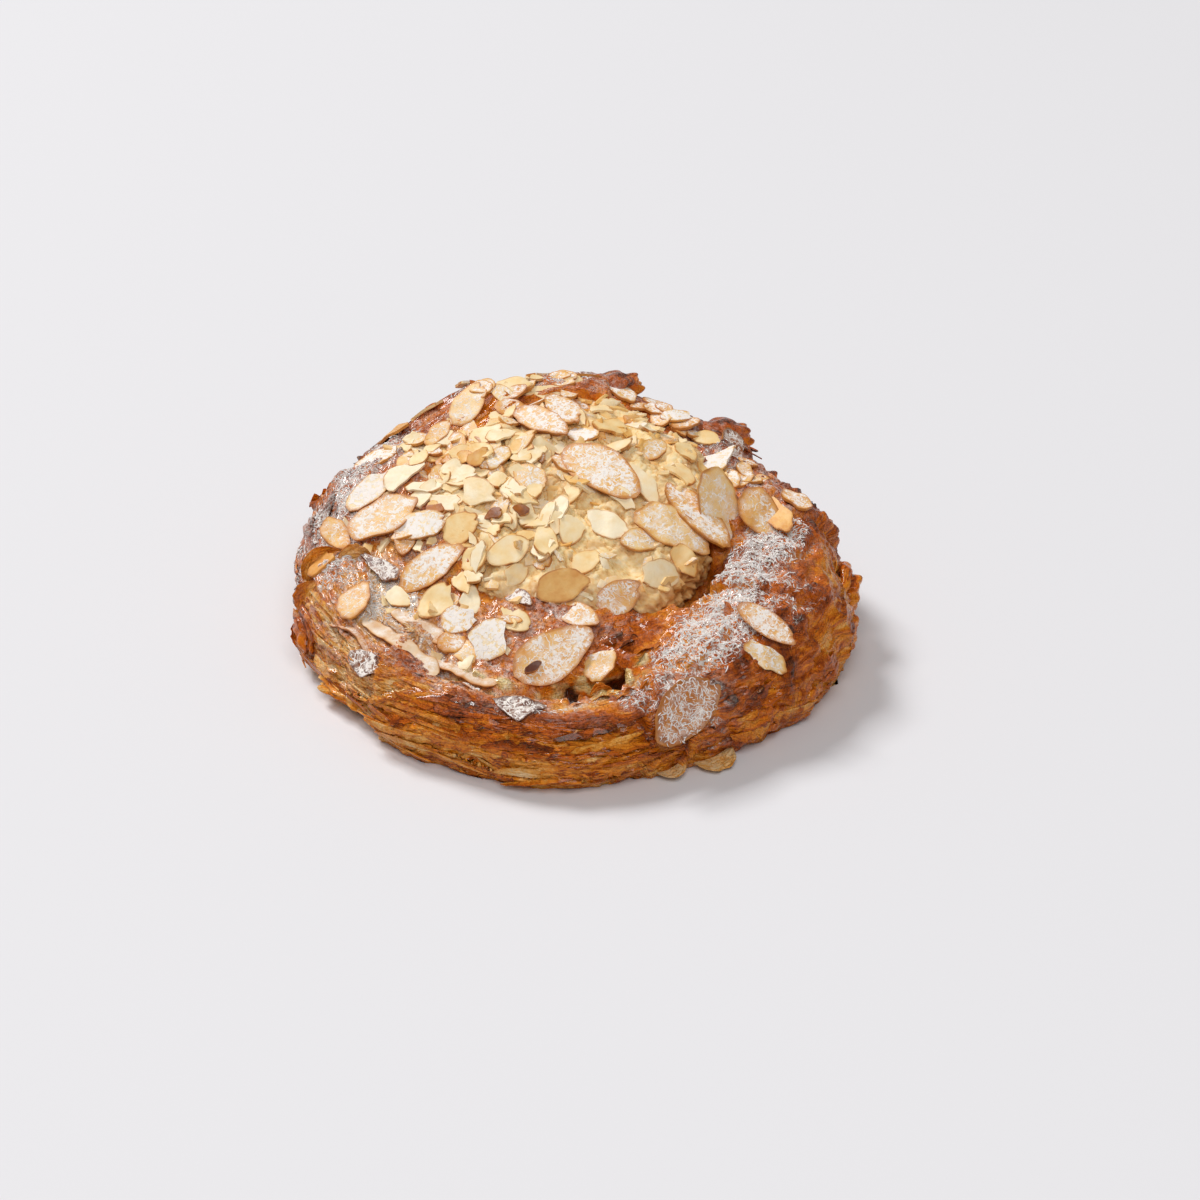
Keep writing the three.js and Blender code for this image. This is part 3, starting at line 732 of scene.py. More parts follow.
turn = np.arange(AROUND) * 360 / AROUND
ridge, reach = around(RIDGE, turn), around(REACH, turn)
rows, spans = [], []
for share in RING_SHARES:
    distance = ridge * share
    spans.append(distance)
    rows.append(np.stack([*on_plan(turn, distance), top_at(turn, distance)], axis=1))
for angle in RING_TURNS:
    out = math.sin(math.radians(angle))
    distance = ridge + (reach - ridge) * out ** (2 / SQUARENESS)
    height = top_at(turn, distance)
    proud = (wrap_swell(turn, distance) + LEDGES_HERE * ledges(turn, height)) * out
    spans.append(distance)
    rows.append(np.stack([*on_plan(turn, distance + proud), height], axis=1))
belly = top_at(turn, reach)
for share in RING_DOWN:
    proud = wrap_swell(turn, reach) + LEDGES_HERE * ledges(turn, belly * share)
    distance = reach - TUCK * (1 - share) ** 2 + proud
    spans.append(reach)
    rows.append(np.stack([*on_plan(turn, distance), belly * share], axis=1))
rows, spans = np.array(rows), np.array(spans)
print("rings:", rows.shape[0], "of", rows.shape[1])

# %% Coordinates that follow the roll
angles = np.broadcast_to(turn, spans.shape)
steps_down = np.linalg.norm(np.diff(rows, axis=0), axis=2)
path = np.cumsum(np.concatenate([np.zeros((1, AROUND)), steps_down]), axis=0)
STRETCH = 5.0  # features are this much longer along the roll than across it
LAY_REACH = 60  # the circle that the way along the roll is measured on
slanted = np.radians(wrap_place(angles, spans))
lay_rows = np.stack([LAY_REACH * np.cos(slanted), LAY_REACH * np.sin(slanted), path * STRETCH], axis=2)
normals = grid_normals(rows)
flat, lay_flat, even_normals = (grid.reshape(-1, 3) for grid in (rows, lay_rows, normals))
x, y, z = flat.T
angle_flat, span_flat = angles.reshape(-1), spans.reshape(-1)
side = smooth(span_flat / around(REACH, angle_flat), 0.86, 0.98)
print("share of the skin that is side wall:", round(float(side.mean()), 2))

# %% Lumps, blisters, scales and torn places
def towards(degrees, middle, low, high):
    """1 where an angle is near the middle one, 0 well away from it: low and high are cosines."""
    return smooth(np.cos(np.radians(degrees - middle)), low, high)


def along_roll(long, wide):
    """The size of a noise that is read in the roll's own coordinates."""
    return np.array([long, long, wide * STRETCH])


SEAM_AT = 292.5  # degrees at which the two horns touch
split_shade = split_share(angles, spans)[0].reshape(-1)
torn = smooth(patches(CRUMB, x, y) * (0.8 + 0.6 * noise(flat, 3.0, 10)), 0.35, 0.6)
# The dough has three characters: rough between the horns, smooth and blistered on the right arm, and most
# flaky at the left.
to_arm = towards(angle_flat, -12, 0.35, 0.75)
between = smooth(span_flat, 24, 32) * (1 - smooth(span_flat, 56, 62)) * smooth(-y, 8, 24) * (1 - to_arm)
arm = to_arm * smooth(span_flat, 34, 42)
left = towards(angle_flat, 165, 0.2, 0.6) * (1 - 0.6 * side)
warp = noise_three(flat, 9.0, 51)
bent = lay_flat + warp * [5.0, 5.0, 7.0]
lumps = 0.7 * noise(flat, 12.0, 1) + 0.5 * noise(flat, 5.5, 2)
blisters = (0.18 + 0.75 * arm) * (1 - 2.2 * np.abs(noise(flat + 1.5 * warp, 5.6, 3)))
blisters = blisters + 0.25 * arm * noise(flat, 2.4, 4)
# Scales of two sizes: each cell of noise is one, with its own height and tilt.
near, second, number = cells(bent, along_roll(27, 2.4), 13)
# This marks the scales' edges, which the colour below paints lighter on the wall as a painted highlight.
scale_edge_highlight = 1 - smooth(second - near, 0.0, 0.16)
scales = (0.35 + 0.75 * side + 0.55 * left) * (1 - 0.7 * arm) * (number - 0.5 - 0.35 * near)
near, _, small_number = cells(bent + 40, along_roll(14, 1.2), 14)
scales += (0.12 + 0.42 * side + 0.38 * left) * (1 - 0.6 * arm) * (small_number - 0.5 - 0.3 * near)
fibres = (0.05 + 0.22 * side) * noise(bent, along_roll(18, 0.9), 5)
fibres = fibres + 0.06 * noise(bent, along_roll(3, 0.6), 6)
layers = 1.7 * layered(bent, 26.0, 3, 7)
steps = (0.45 - 0.3 * arm) * (stepped(layers, 0.2) - layers)
near, second, pillow_number = cells(flat + 1.8 * warp, 4.4, 16)
pillow = smooth(second - near, 0.0, 0.5)
near, second, bubble_number = cells(flat + 0.8 * warp, 1.9, 17)
bubbles = (0.05 + 0.2 * arm) * smooth(second - near, 0.0, 0.4) * (bubble_number > 0.4)
pillows = (0.06 + 0.55 * arm) * pillow + bubbles
rough = (0.03 + 0.15 * between) * noise(flat, 1.6, 8) + 0.5 * between * noise(flat, 2.6, 12)
near, second, crumb_number = cells(flat, 2.2, 9)
crumbs = torn * (1.2 * (second - near) + 1.2 * crumb_number - 0.4)
crumbs -= 1.6 * patches(SUNKEN_LIP, x, y) * smooth(z, 10, 14)
hole_share = patches(HOLES, x, y)
holes = 6.0 * hole_share
seam_at = SEAM_AT + 1.2 * noise(flat, 6.0, 15) + 0.12 * (z - 8)
seam_dent_and_shade = np.exp(-(((angle_flat - seam_at) / 0.9) ** 2)) * side * smooth(z, 1, 5)
fan_room = 1.6 * patches(FAN_ROOM, x, y) * side
calm = 1 - 0.8 * patches(CALM, x, y) * side
pit_dent_and_shade = 4.0 * patches(PIT, x, y)
push = lumps + (blisters + pillows) * (0.35 + 0.65 * calm) + (scales + fibres + steps) * calm
push = push + rough + crumbs - holes - pit_dent_and_shade - 3.0 * seam_dent_and_shade - fan_room
print("push along the normal, mm:", round(float(push.min()), 2), "to", round(float(push.max()), 2))

# %% Grooves beside the pale strips at the front left, with painted shade in them
GROOVES = [  # from x, y to x, y, half width, how deep
    (-50, -31, -31, -51, 4.2, 0.6), (-41, -29, -28.5, -38, 3.6, 0.5), (-57, -27, -44, -46, 2.0, 0.6),
]
groove_shade = np.zeros(len(flat))
for x0, y0, x1, y1, half, deep in GROOVES:
    reachx, reachy = x1 - x0, y1 - y0
    length = math.hypot(reachx, reachy)
    along = ((x - x0) * reachx + (y - y0) * reachy) / length
    across = ((y - y0) * reachx - (x - x0) * reachy) / length + 0.7 * noise(flat, 3.0, 11)
    inside_it = smooth(half - np.abs(across), 0, 1.2) * smooth(along, 0, 2) * smooth(length - along, 0, 2)
    push -= deep * inside_it
    groove_shade = np.maximum(groove_shade, inside_it)
print("points in the grooves:", int((groove_shade > 0.5).sum()))

# %% Room for the cream, and the finished skin
CREAM_GAP = 0.3  # kept between the crust and the cream, as in the solids
skin = flat + even_normals * push[:, None]
wide_room = 0.97 + 0.13 * cliff_share(skin[:, 0], skin[:, 1])
sunk = cream_bottom(skin[:, 0], skin[:, 1]) - CREAM_GAP
under = smooth(wide_room - cream_share(skin[:, 0], skin[:, 1]), 0, 0.05)
skin[:, 2] = np.minimum(skin[:, 2], skin[:, 2] * (1 - under) + sunk * under)
skin[:, 2] = np.maximum(skin[:, 2], 0.0)
skin[-AROUND:, 2] = 0.0
final_normals = grid_normals(skin.reshape(rows.shape)).reshape(-1, 3)
facing_up = np.clip(final_normals[:, 2], 0, 1)
print("skin:", round(float(skin[:, 2].max()), 1), "mm high;", int((under > 0.5).sum()), "points under cream")

# %% How brown, how torn and how sugared each point is, with painted shade in the holes, splits, seams and grooves
# Painted shade in the crumb's large holes: they are browner and lose their pale crumb.
hole_shade = smooth(hole_share, 0.6, 0.9)
bake_and_shade_map = (
    0.38 + 0.10 * smooth(facing_up, 0.3, 0.9) + 0.08 * np.clip(blisters + lumps, -1, 1)
    + ((0.05 + 0.18 * side + 0.1 * left) * (number - 0.5)
       + (0.04 + 0.14 * side) * (small_number - 0.5)) * (1 - 0.6 * arm)
    + arm * (0.14 * pillow - 0.08 + 0.26 * (pillow_number - 0.5)) * (0.4 + 0.6 * facing_up)
    # lighter along the scales' edges on the wall: painted highlight
    - 0.16 * side * scale_edge_highlight
    # slightly darker in the grooves: painted shade
    + patches(DARK, x, y) * (1 - 0.45 * smooth(z / 12, 1.2, 0.4)) - patches(PALE, x, y) + 0.04 * groove_shade
    # painted shade: darker in the open split, in the seam where the horns touch, and in the holes
    + 0.12 * split_shade * (1 - torn) + 0.3 * seam_dent_and_shade + 0.5 * hole_shade
    # painted shade in the pit
    + 0.12 * pit_dent_and_shade
)
crumb_map = np.clip(torn * 0.95, 0, 1) * (1 - hole_shade)
# The pit is kept free of sugar so that its painted shade stays dark.
off_crumb, off_pit = 1 - 0.8 * torn, 1 - smooth(pit_dent_and_shade, 0.6, 2.0)
sifted = 0.95 * patches(SUGAR, x, y) * (0.15 + 0.85 * smooth(facing_up, 0.2, 0.8))
dust_map = np.clip(sifted * off_crumb * off_pit, 0, 1.7)
powder_map = patches(POWDER, x, y) * smooth(facing_up, 0.05, 0.6) * off_crumb * off_pit
print("mean bake", round(float(bake_and_shade_map.mean()), 2), "mean dust", round(float(dust_map.mean()), 2))

# %% [markdown]
# ## Folded ends
#
# Where a wrap ends the dough stands out as a small pleated lobe. Each one is a ball squashed and folded
# by the same rule as in the solid, with finer pleats that fan out from its foot.

# %% Lobes
LOBES = [  # x, y, z, long, wide, thick, turn, tip, bake, how pleated
    (9, 52.5, 41, 20, 12, 10, 20, 10, 0.56, 0.3), (38, 44, 31, 20, 13, 12, 25, 0, 0.5, 0.3),
    (46, 35, 23, 17, 12, 11, 10, 0, 0.5, 0.9), (67, -4, 14, 13, 15, 15, -5, 0, 0.42, 1.0),
    (66, -17, 11, 12, 12, 15, -20, 0, 0.42, 1.0), (-64, -19, 12, 9, 14, 14, 20, 0, 0.5, 0.8),
    (-52, -35, 5, 13, 22, 7, 50, 0, 0.26, 0.7),
]
LOBE_RINGS, LOBE_AROUND = 48, 72


def spun(points, first, second, degrees):
    """Points turned in the plane of two of their axes."""
    c, s = math.cos(math.radians(degrees)), math.sin(math.radians(degrees))
    made = points.copy()
    made[:, first] = points[:, first] * c - points[:, second] * s
    made[:, second] = points[:, first] * s + points[:, second] * c
    return made


def lobe(row):
    """One folded end: its points, faces, values and roll coordinates."""
    mx, my, mz, long, wide, thick, turned, tip, brown, pleated = row
    tilt = np.radians(np.linspace(0, 180, LOBE_RINGS + 2)[1:-1])[:, None]
    way = np.radians(np.arange(LOBE_AROUND) * 360 / LOBE_AROUND)
    ball = np.stack(np.broadcast_arrays(
        0.5 * np.sin(tilt) * np.cos(way), 0.5 * np.sin(tilt) * np.sin(way), 0.5 * np.cos(tilt)), axis=2)
    ball = capped([0, 0, 0.5], ball.reshape(-1, 3), [0, 0, -0.5])
    px, py, pz = ball.T
    fold = 1 + 0.1 * np.sin(pz * 19 + px * 6) + 0.05 * np.sin(py * 23)
    fan = np.arctan2(pz + 0.62, px + 0.2) * 9 + noise(ball, 0.3, 5) * 0.5
    valley = (0.5 + 0.5 * np.cos(2 * fan)) ** 3
    pleat = 1 - 0.24 * pleated * valley
    shaped = ball * np.stack([long * fold * pleat, wide * fold * pleat, thick * pleat], axis=1)
    shaped = spun(spun(shaped, 0, 2, tip), 0, 1, turned)
    outward = ball / np.linalg.norm(ball, axis=1, keepdims=True)
    uneven = 0.5 * noise(shaped, 4.0, 21) + 0.08 * noise(shaped, 1.5, 22)
    placed = shaped + [mx, my, mz] + outward * uneven[:, None]
    placed[:, 2] = np.maximum(placed[:, 2], 0.3)
    lit = smooth(outward[:, 2], -0.1, 0.9)
    values = {
        # The pleats' valleys are darker: painted shade in the folds.
        "bake": brown + 0.16 * lit + 0.10 * noise(placed, 5.0, 24) + pleated * (0.2 * valley - 0.08),
        "crumb": 0.0, "flank": 0.7,
        "dust": patches(SUGAR, placed[:, 0], placed[:, 1]) * lit * 0.6,
        "powder": patches(POWDER, placed[:, 0], placed[:, 1]) * lit * 0.5,
    }
    lay_points = np.stack([fan * 2.0, placed[:, 1] * 0.5, placed[:, 2] * 0.5], axis=1)
    return placed, ring_faces(LOBE_RINGS, LOBE_AROUND), values, lay_points


# %% The crust and its folded ends
def gather(parts):
    """Joins points, faces, values and roll coordinates of several closed shapes."""
    faces, count = [], 0
    for points, its_faces, _, _ in parts:
        faces += [[i + count for i in face] for face in its_faces]
        count += len(points)
    values = {
        name: np.concatenate([np.broadcast_to(part[2][name], len(part[0])) for part in parts])
        for name in parts[0][2]}
    points, lays = (np.concatenate([part[k] for part in parts]) for k in (0, 3))
    return points, faces, values, {"lay": lays}


middle = [0, 0, float(cream_bottom(0.0, 0.0)) - CREAM_GAP]
crust_values = {
    "bake": capped(0.3, bake_and_shade_map, 0.3), "crumb": capped(0, crumb_map, 0), "dust": capped(0, dust_map, 0),
    "flank": capped(0, side * (1 - 0.55 * arm), 0), "powder": capped(0, powder_map, 0),
}
crust_piece = piece_from(
    "pastry_crust", capped(middle, skin, [0, 0, 0]), ring_faces(len(rows), AROUND), crust_values,
    crust_material, {"lay": capped(middle, lay_flat, middle)},
)
points, faces, values, lays = gather([lobe(row) for row in LOBES])
lobe_piece = piece_from("crust_folded_ends", points, faces, values, crust_material, lays)

# %% [markdown]
# ## The almond cream
#
# Baked almond cream is ground almonds, butter, sugar and egg: it sets to a coarse moist crumb that holds
# broken bits of almond. It is a disc with a lumpy top, whose edge at the front right breaks off in a
# crumbly cliff. Two sizes of cell noise make the crumb.

# %% Cream disc
CREAM_AROUND = 420  # points round each ring
TOP_SHARES = np.concatenate([np.linspace(0.02, 0.96, 92), [0.975, 0.99, 1.0]])
WALL_STEPS = 22

way = np.arange(CREAM_AROUND) * 360 / CREAM_AROUND
edge = cream_edge(way)
cream_rows = []
for share in TOP_SHARES:
    px, py = round_cream(way, share * edge)
    cream_rows.append(np.stack([px, py, cream_top(px, py)], axis=1))
px, py = round_cream(way, edge - 1)
foot = cream_bottom(px, py)
rim_row = cream_rows[-1]
for k in range(1, WALL_STEPS + 1):
    t = k / WALL_STEPS
    bulge = 0.8 * math.sin(math.pi * t)
    wx = rim_row[:, 0] * (1 - t) + px * t + bulge * np.cos(np.radians(way))
    wy = rim_row[:, 1] * (1 - t) + py * t + bulge * np.sin(np.radians(way))
    cream_rows.append(np.stack([wx, wy, rim_row[:, 2] * (1 - t) + foot * t], axis=1))
cream_rows = np.array(cream_rows)
cream_flat = cream_rows.reshape(-1, 3)
cx, cy = cream_flat[:, 0], cream_flat[:, 1]
wall = smooth(np.repeat(np.arange(len(cream_rows)), CREAM_AROUND), len(TOP_SHARES) - 8, len(TOP_SHARES))
cliff = cliff_share(cx, cy) * wall
near, second, number = cells(cream_flat + 1.2 * noise_three(cream_flat, 3.0, 37), 3.6, 31)
small_near, small_second, small_number = cells(cream_flat, 1.5, 32)
lumpy = 0.8 * (number - 0.5) * smooth(second - near, 0, 0.25) + 0.25 * smooth(second - near, 0, 0.12)
lumpy += (0.4 + 1.4 * wall) * (small_number - 0.5) * smooth(
    small_second - small_near, 0, 0.3) + 0.15 * noise(cream_flat, 1.3, 35)
lumpy += 0.4 * noise(cream_flat, 7.0, 33) - 0.5 + cliff * (
    1.6 + 1.2 * noise(cream_flat, 3.5, 36) - 1.4 * np.abs(noise(cream_flat, 2.0, 38)))
cream_skin_points = cream_flat + grid_normals(cream_rows).reshape(-1, 3) * lumpy[:, None]
# Darker crumb in the gaps between lumps: painted shade.
gap_shade = 0.5 * (1 - smooth(second - near, 0, 0.14)) + 0.4 * (1 - smooth(small_second - small_near, 0, 0.2))
# The cream browns towards its rim and in a few lumps; its cliff is browner and its crumb darker as painted
# shade on the broken face.
cream_toast = 0.12 + 0.3 * (number > 0.82) + 0.35 * smooth(
    cream_share(cx, cy), 0.75, 1.0) * (1 - cliff) + 0.45 * cliff
cream_values = {
    "crumb": capped(0.5, 0.42 - 0.5 * gap_shade + 0.3 * (small_number - 0.5) - 0.3 * cliff, 0.3),
    "toast": capped(0.1, cream_toast, 0.2),
    "dust": capped(0.1, 0.12 * smooth(noise(cream_flat, 9.0, 34), 0.0, 0.5), 0.0),
}
middle_top, middle_foot = (
    [CREAM["x"], CREAM["y"], float(height(CREAM["x"], CREAM["y"]))] for height in (cream_top, cream_bottom))
cream_piece = piece_from(
    "almond_cream_topping", capped(middle_top, cream_skin_points, middle_foot),
    ring_faces(len(cream_rows), CREAM_AROUND), cream_values, cream_material,
)

# %% [markdown]
# ## Flaked almonds
#
# An almond flake is a slice about a millimetre thick: an oval with one pointed end, cream inside, with a
# thread of brown skin round it. Some fell whole and some broke. The big ones lie where the solids have
# them. Each row is x, y, the turn of the long way, length, width, tilt, lift above the surface, and its
# look: how much sugar it holds, how toasted it is and how much of it broke off.

# %% The big flakes
LOOKS = {  # sugar, toast, broken
    "dusted": (1.0, 0.42, 0.0), "white": (1.6, 0.25, 0.5), "cream": (0.1, 0.1, 0.8), "tan": (0.6, 0.44, 0.1),
    "yellow": (0.0, 0.22, 0.3), "brown": (0.75, 0.5, 0.0), "grey": (0.8, 0.9, 0.6),
    "orange": (0.1, 0.55, 0.2), "pale": (0.6, 0.36, 0.0), "plain": (0.0, 0.16, 0.8),
    "toasted": (0.1, 0.85, 0.9), "hole_shadow": (0.1, 1.4, 0.0), "golden": (0.0, 0.5, 0.1),
    "husky": (0.34, 0.86, 0.0), "ragged": (0.6, 0.5, 1.0),
}
BIG_FLAKES = [
    (8, 9, -46, 24, 13, 4, 0.3, "dusted"), (25, -7, -25, 20, 11, 6, 1.2, "pale"),
    (31, -1, -42, 23, 12, 10, 0.6, "brown"), (36, 4, -52, 20, 12, 8, 0.4, "tan"),
    (3, 24, -29, 9, 8, 0, 0.4, "white"), (-2, 33, -54, 14, 8, 8, 0.2, "dusted"),
    (-7, 27, -47, 19, 8, 5, 0.3, "dusted"), (-23, 2, -44, 13, 8, 12, 0.5, "cream"),
    (27, 12, -48, 11, 8, -6, 0.4, "cream"), (18, 7, -61, 16, 6, 10, 0.8, "cream"),
    (-2, -24, 22, 14, 8, 14, 0.8, "golden"), (12, -26, 39, 12, 9, 8, 0.3, "brown"),
    (4, -18, 43, 9, 6, 10, 0.2, "yellow"), (22, -20, 2, 11, 8, 5, 0.3, "yellow"),
    (28, -14, -40, 9, 6, 20, 0.5, "yellow"), (-15, -16, 31, 11, 8, 8, 0.3, "yellow"),
    (-27, -7, 29, 11, 8, 6, 0.4, "yellow"), (2, -31, -36, 12, 7, 6, 0.3, "dusted"),
    (-12, -27, -38, 8, 5, 5, 0.2, "grey"), (-4, -41, 37, 23, 12, 8, 0.6, "dusted"),
    (8, -43, 34, 10, 8, 5, 0.0, "tan"), (-19, -37, 47, 14, 10, 6, 0.4, "white"),
    (-26, -31, 15, 11, 8, 8, 0.2, "white"), (-32, -26, 51, 12, 8, 8, 0.3, "yellow"),
    (-11, -63, -20, 15, 9, 4, 0.4, "grey"), (26.8, -61.8, 70, 21, 12.5, 0, 0.4, "husky"),
    (48, -38, -38, 17, 6, 35, 0.5, "dusted"), (46, -47, -29, 12, 9, 6, 0.3, "ragged"),
    (47, 2, -54, 15, 10, 6, 0.4, "tan"), (53, 2, -72, 14, 7, 25, 0.7, "orange"),
    (57, 10, -64, 11, 7, 10, 0.4, "brown"), (38, 24, 62, 14, 8, -8, 0.6, "white"),
    (42, 33, -47, 11, 8, 6, 0.4, "grey"), (13, 48, -59, 12, 7, 6, 0.3, "dusted"),
    (-47, 40, -41, 16, 8, 2, 0.4, "orange"), (-51, 14, 48, 15, 8, 8, 0.5, "white"),
    (-46, 1, 24, 19, 12, 6, 0.5, "dusted"), (-34, -16, 40, 19, 9, 8, 0.5, "dusted"),
    (-42, 16, 48, 13, 9, 8, 0.5, "cream"), (-47, -14, -40, 13, 8, 6, 0.2, "grey"),
    (-49, -42, -60, 12, 8, 0, 0.3, "grey"), (-60, -10, 19, 11, 6, 25, 0.5, "orange"),
]
BITS_BY_HAND = [  # brown and orange bits on the cream, and a dark bit on the front flake that is a painted shadow of a small hole
    (-18, -5, 20, 5, 4, 0, 0.6, "toasted"), (-12.5, -4.5, 0, 4.5, 3.5, 0, 0.4, "toasted"),
    (-33, 1, 0, 6, 4, 10, 0.6, "toasted"), (-23, 14, 30, 7, 5, 15, 0.5, "orange"),
    (-26, 15, -20, 6, 4, 25, 0.5, "orange"), (-8.8, -44.6, 40, 5.0, 2.2, 8, 2.6, "hole_shadow"),
]
FLAKE_THICK = 0.75
FLAKE_AROUND = 40
FLAKE_PROFILE = [  # share of the way out and height in thicknesses, from the top round to the underside
    (0.4, 0.5), (0.72, 0.5), (0.88, 0.55), (1.0, 0.5), (0.985, -0.4), (0.9, -0.5), (0.5, -0.5),
]
FLAKE_WAVES = [(2, 0.06), (3, 0.06), (5, 0.045), (9, 0.03), (13, 0.022)]  # times round the rim, and depth


def unit(vector):
    """The vector of length 1 that points the same way."""
    return vector / np.linalg.norm(vector)


def turned_about(vector, axis, degrees):
    """A vector turned about a unit axis."""
    c, s = math.cos(math.radians(degrees)), math.sin(math.radians(degrees))
    return vector * c + np.cross(axis, vector) * s + axis * np.dot(axis, vector) * (1 - c)


def lie_of(x, y, turned, tilt):
    """The middle and the three directions of something that lies on the surface."""
    step = 1.5  # the slope is measured this far to each side
    normal = unit(np.array([
        float(surface_at(x - step, y) - surface_at(x + step, y)),
        float(surface_at(x, y - step) - surface_at(x, y + step)), 2 * step,
    ]))
    along = np.array([math.cos(math.radians(turned)), math.sin(math.radians(turned)), 0.0])
    along = unit(along - normal * np.dot(along, normal))
    normal = turned_about(normal, along, tilt)
    return np.array([x, y, float(surface_at(x, y))]), along, np.cross(normal, along), normal


# %% One flake, and the tray that collects them
def flake_points(long, wide, broken, chance):
    """A flake lying flat at the origin: points and rim values, top pole first and bottom pole last."""
    around_it = np.arange(FLAKE_AROUND) * 2 * np.pi / FLAKE_AROUND
    point = 1 - chance.uniform(0.15, 0.4) * np.maximum(0, np.cos(around_it)) ** 2
    ragged = 1 + sum(
        share * chance.uniform(-1, 1) * np.sin(around_it * times + chance.uniform(0, 6))
        for times, share in FLAKE_WAVES)
    split_at, split_deep = chance.uniform(-0.7, 0.7), chance.uniform(0, 0.3) * (chance.uniform(0, 1) < 0.45)
    from_split = np.angle(np.exp(1j * (around_it - split_at)))
    ragged = ragged * (1 - split_deep * np.exp(-((from_split / 0.2) ** 2)))
    ox, oy = np.cos(around_it) * long / 2 * ragged, np.sin(around_it) * point * wide / 2 * ragged
    lost = np.zeros(FLAKE_AROUND)
    for _ in range(3):
        cut_way, keep, phase = chance.uniform(0, 2 * np.pi), chance.uniform(0.4, 0.85), chance.uniform(0, 6)
        if chance.uniform(0, 1) > broken:
            continue
        depth = ox * math.cos(cut_way) + oy * math.sin(cut_way)
        cut_edge = keep + 0.05 * np.sin(around_it * 4 + phase) + 0.02 * np.sin(around_it * 9)
        over = np.maximum(0, depth - depth.max() * cut_edge)
        ox, oy = ox - over * math.cos(cut_way), oy - over * math.sin(cut_way)
        lost = np.maximum(lost, smooth(over, 0, 0.3))
    bend, twist = chance.uniform(-0.01, 0.06) * long, chance.uniform(-0.3, 0.3)
    ripple, swing = chance.uniform(0.0, 0.25), chance.uniform(0, 6)
    points, rims = [], []
    for share, height in FLAKE_PROFILE:
        sx, sy = ox * share, oy * share
        rippled = ripple * np.sin(sx * 0.9 + sy * 0.5 + swing)
        sag = bend * (sx / (long / 2)) ** 2 - twist * sx * sy / long - rippled
        points.append(np.stack([sx, sy, height * FLAKE_THICK - sag], axis=1))
        rims.append(share * (1 - 0.3 * lost))
    lift = ripple * math.sin(swing)
    poles = [0, 0, FLAKE_THICK / 2 + lift], [0, 0, -FLAKE_THICK / 2 + lift]
    return capped(poles[0], np.concatenate(points), poles[1]), capped(0, np.concatenate(rims), 0)


class Tray:
    """Collects flakes for one piece, which lie on the real uneven ground and on each other."""

    ground = np.concatenate([skin[under < 0.5], cream_skin_points])
    spots = []

    def __init__(self):
        self.points, self.faces, self.count = [], [], 0
        self.values = {"rim": [], "toast": [], "dust": [], "tone": []}

    def settle(self, middle, normal, long):
        """How far to lift a flake so that few places of the ground stand through it."""
        off = Tray.ground - middle
        near = Tray.ground[np.einsum("ij,ij->i", off, off) < (0.42 * long) ** 2]
        if len(near) < 10:
            return 0.0
        highest = 0.3 if middle[1] > 20 and math.hypot(middle[0], middle[1]) > 53 else 3.0
        stands = np.percentile((near - middle) @ normal, 95 if long > 12 else 85)
        return float(np.clip(stands + 0.25 * FLAKE_THICK, -1.2, highest))

    def lay(self, row, chance):
        """Lays one flake on the ground, and adds it to the ground."""
        x, y, turned, long, wide, tilt, lift, look = row
        sugar, toasted, broken = LOOKS[look]
        shape, rim_values = flake_points(long, wide, broken, chance)
        middle, along, across, normal = lie_of(x, y, turned, tilt)
        middle = middle + normal * (self.settle(middle, normal, long) + 0.4 * lift)
        placed = middle + shape[:, :1] * along + shape[:, 1:2] * across + shape[:, 2:] * normal
        placed[:, 2] -= max(0.0, placed[:, 2].max() - HIGHEST[2] + 0.05)  # under the top of the solids' box
        upper = np.arange(len(shape)) < 1 + 4 * FLAKE_AROUND  # the pole and the four rings on its top
        drift = (1.15 + 0.5 * noise(placed, 6.0, 41)) * (1 - 0.92 * smooth(rim_values, 0.8, 0.96))
        Tray.spots.append((*middle, long))
        Tray.ground = np.concatenate([Tray.ground, placed[upper]])
        self.points.append(placed)
        faces = ring_faces(len(FLAKE_PROFILE), FLAKE_AROUND)
        self.faces += [[i + self.count for i in face] for face in faces]
        self.values["rim"].append(rim_values)
        self.values["tone"].append(np.full(len(placed), chance.uniform(0, 1)))
        rim_toast = (0.1 + 0.14 * min(sugar, 1)) * smooth(rim_values, 0.82, 0.98)
        self.values["toast"].append(toasted + chance.uniform(-0.08, 0.08) + rim_toast)
        self.values["dust"].append(sugar * np.clip(drift, 0, 1.4) * upper)
        self.count += len(placed)

    def finish(self, name):
        """Makes one piece of all the flakes on this tray."""
        values = {title: np.concatenate(parts) for title, parts in self.values.items()}
        return piece_from(name, np.concatenate(self.points), self.faces, values, almond_material, crisp=38)


# %% The small flakes, drawn as the solids draw them
drawn = 31  # the seed, as in the solids


def draw(low, high):
    """The next number of the same series of draws that the solids use."""
    global drawn
    drawn = (drawn * 16807) % 2147483647
    return low + (high - low) * drawn / 2147483647


def small_flakes(number, apart, longest, shortest, cream):
    """Small flakes over the cream, or over the back and left of the pastry."""
    found = []
    for _ in range(4000):
        if len(found) == number:
            break
        degrees = draw(0, 360) if cream else draw(55, 232)
        distance = 46 * math.sqrt(draw(0, 1)) if cream else draw(32, float(around(REACH, degrees)) - 9)
        x, y = (float(c) for c in on_plan(degrees, distance))
        share = float(cream_share(x, y))
        long = draw(shortest, longest)
        row = (x, y, draw(-90, 90), long, long * draw(0.5, 0.65), draw(-14, 14))
        clear = all(math.hypot(other[0] - x, other[1] - y) > apart for other in BIG_FLAKES + found)
        if clear and (share < 0.88 if cream else share > 1.2):
            found.append(row)
    return found


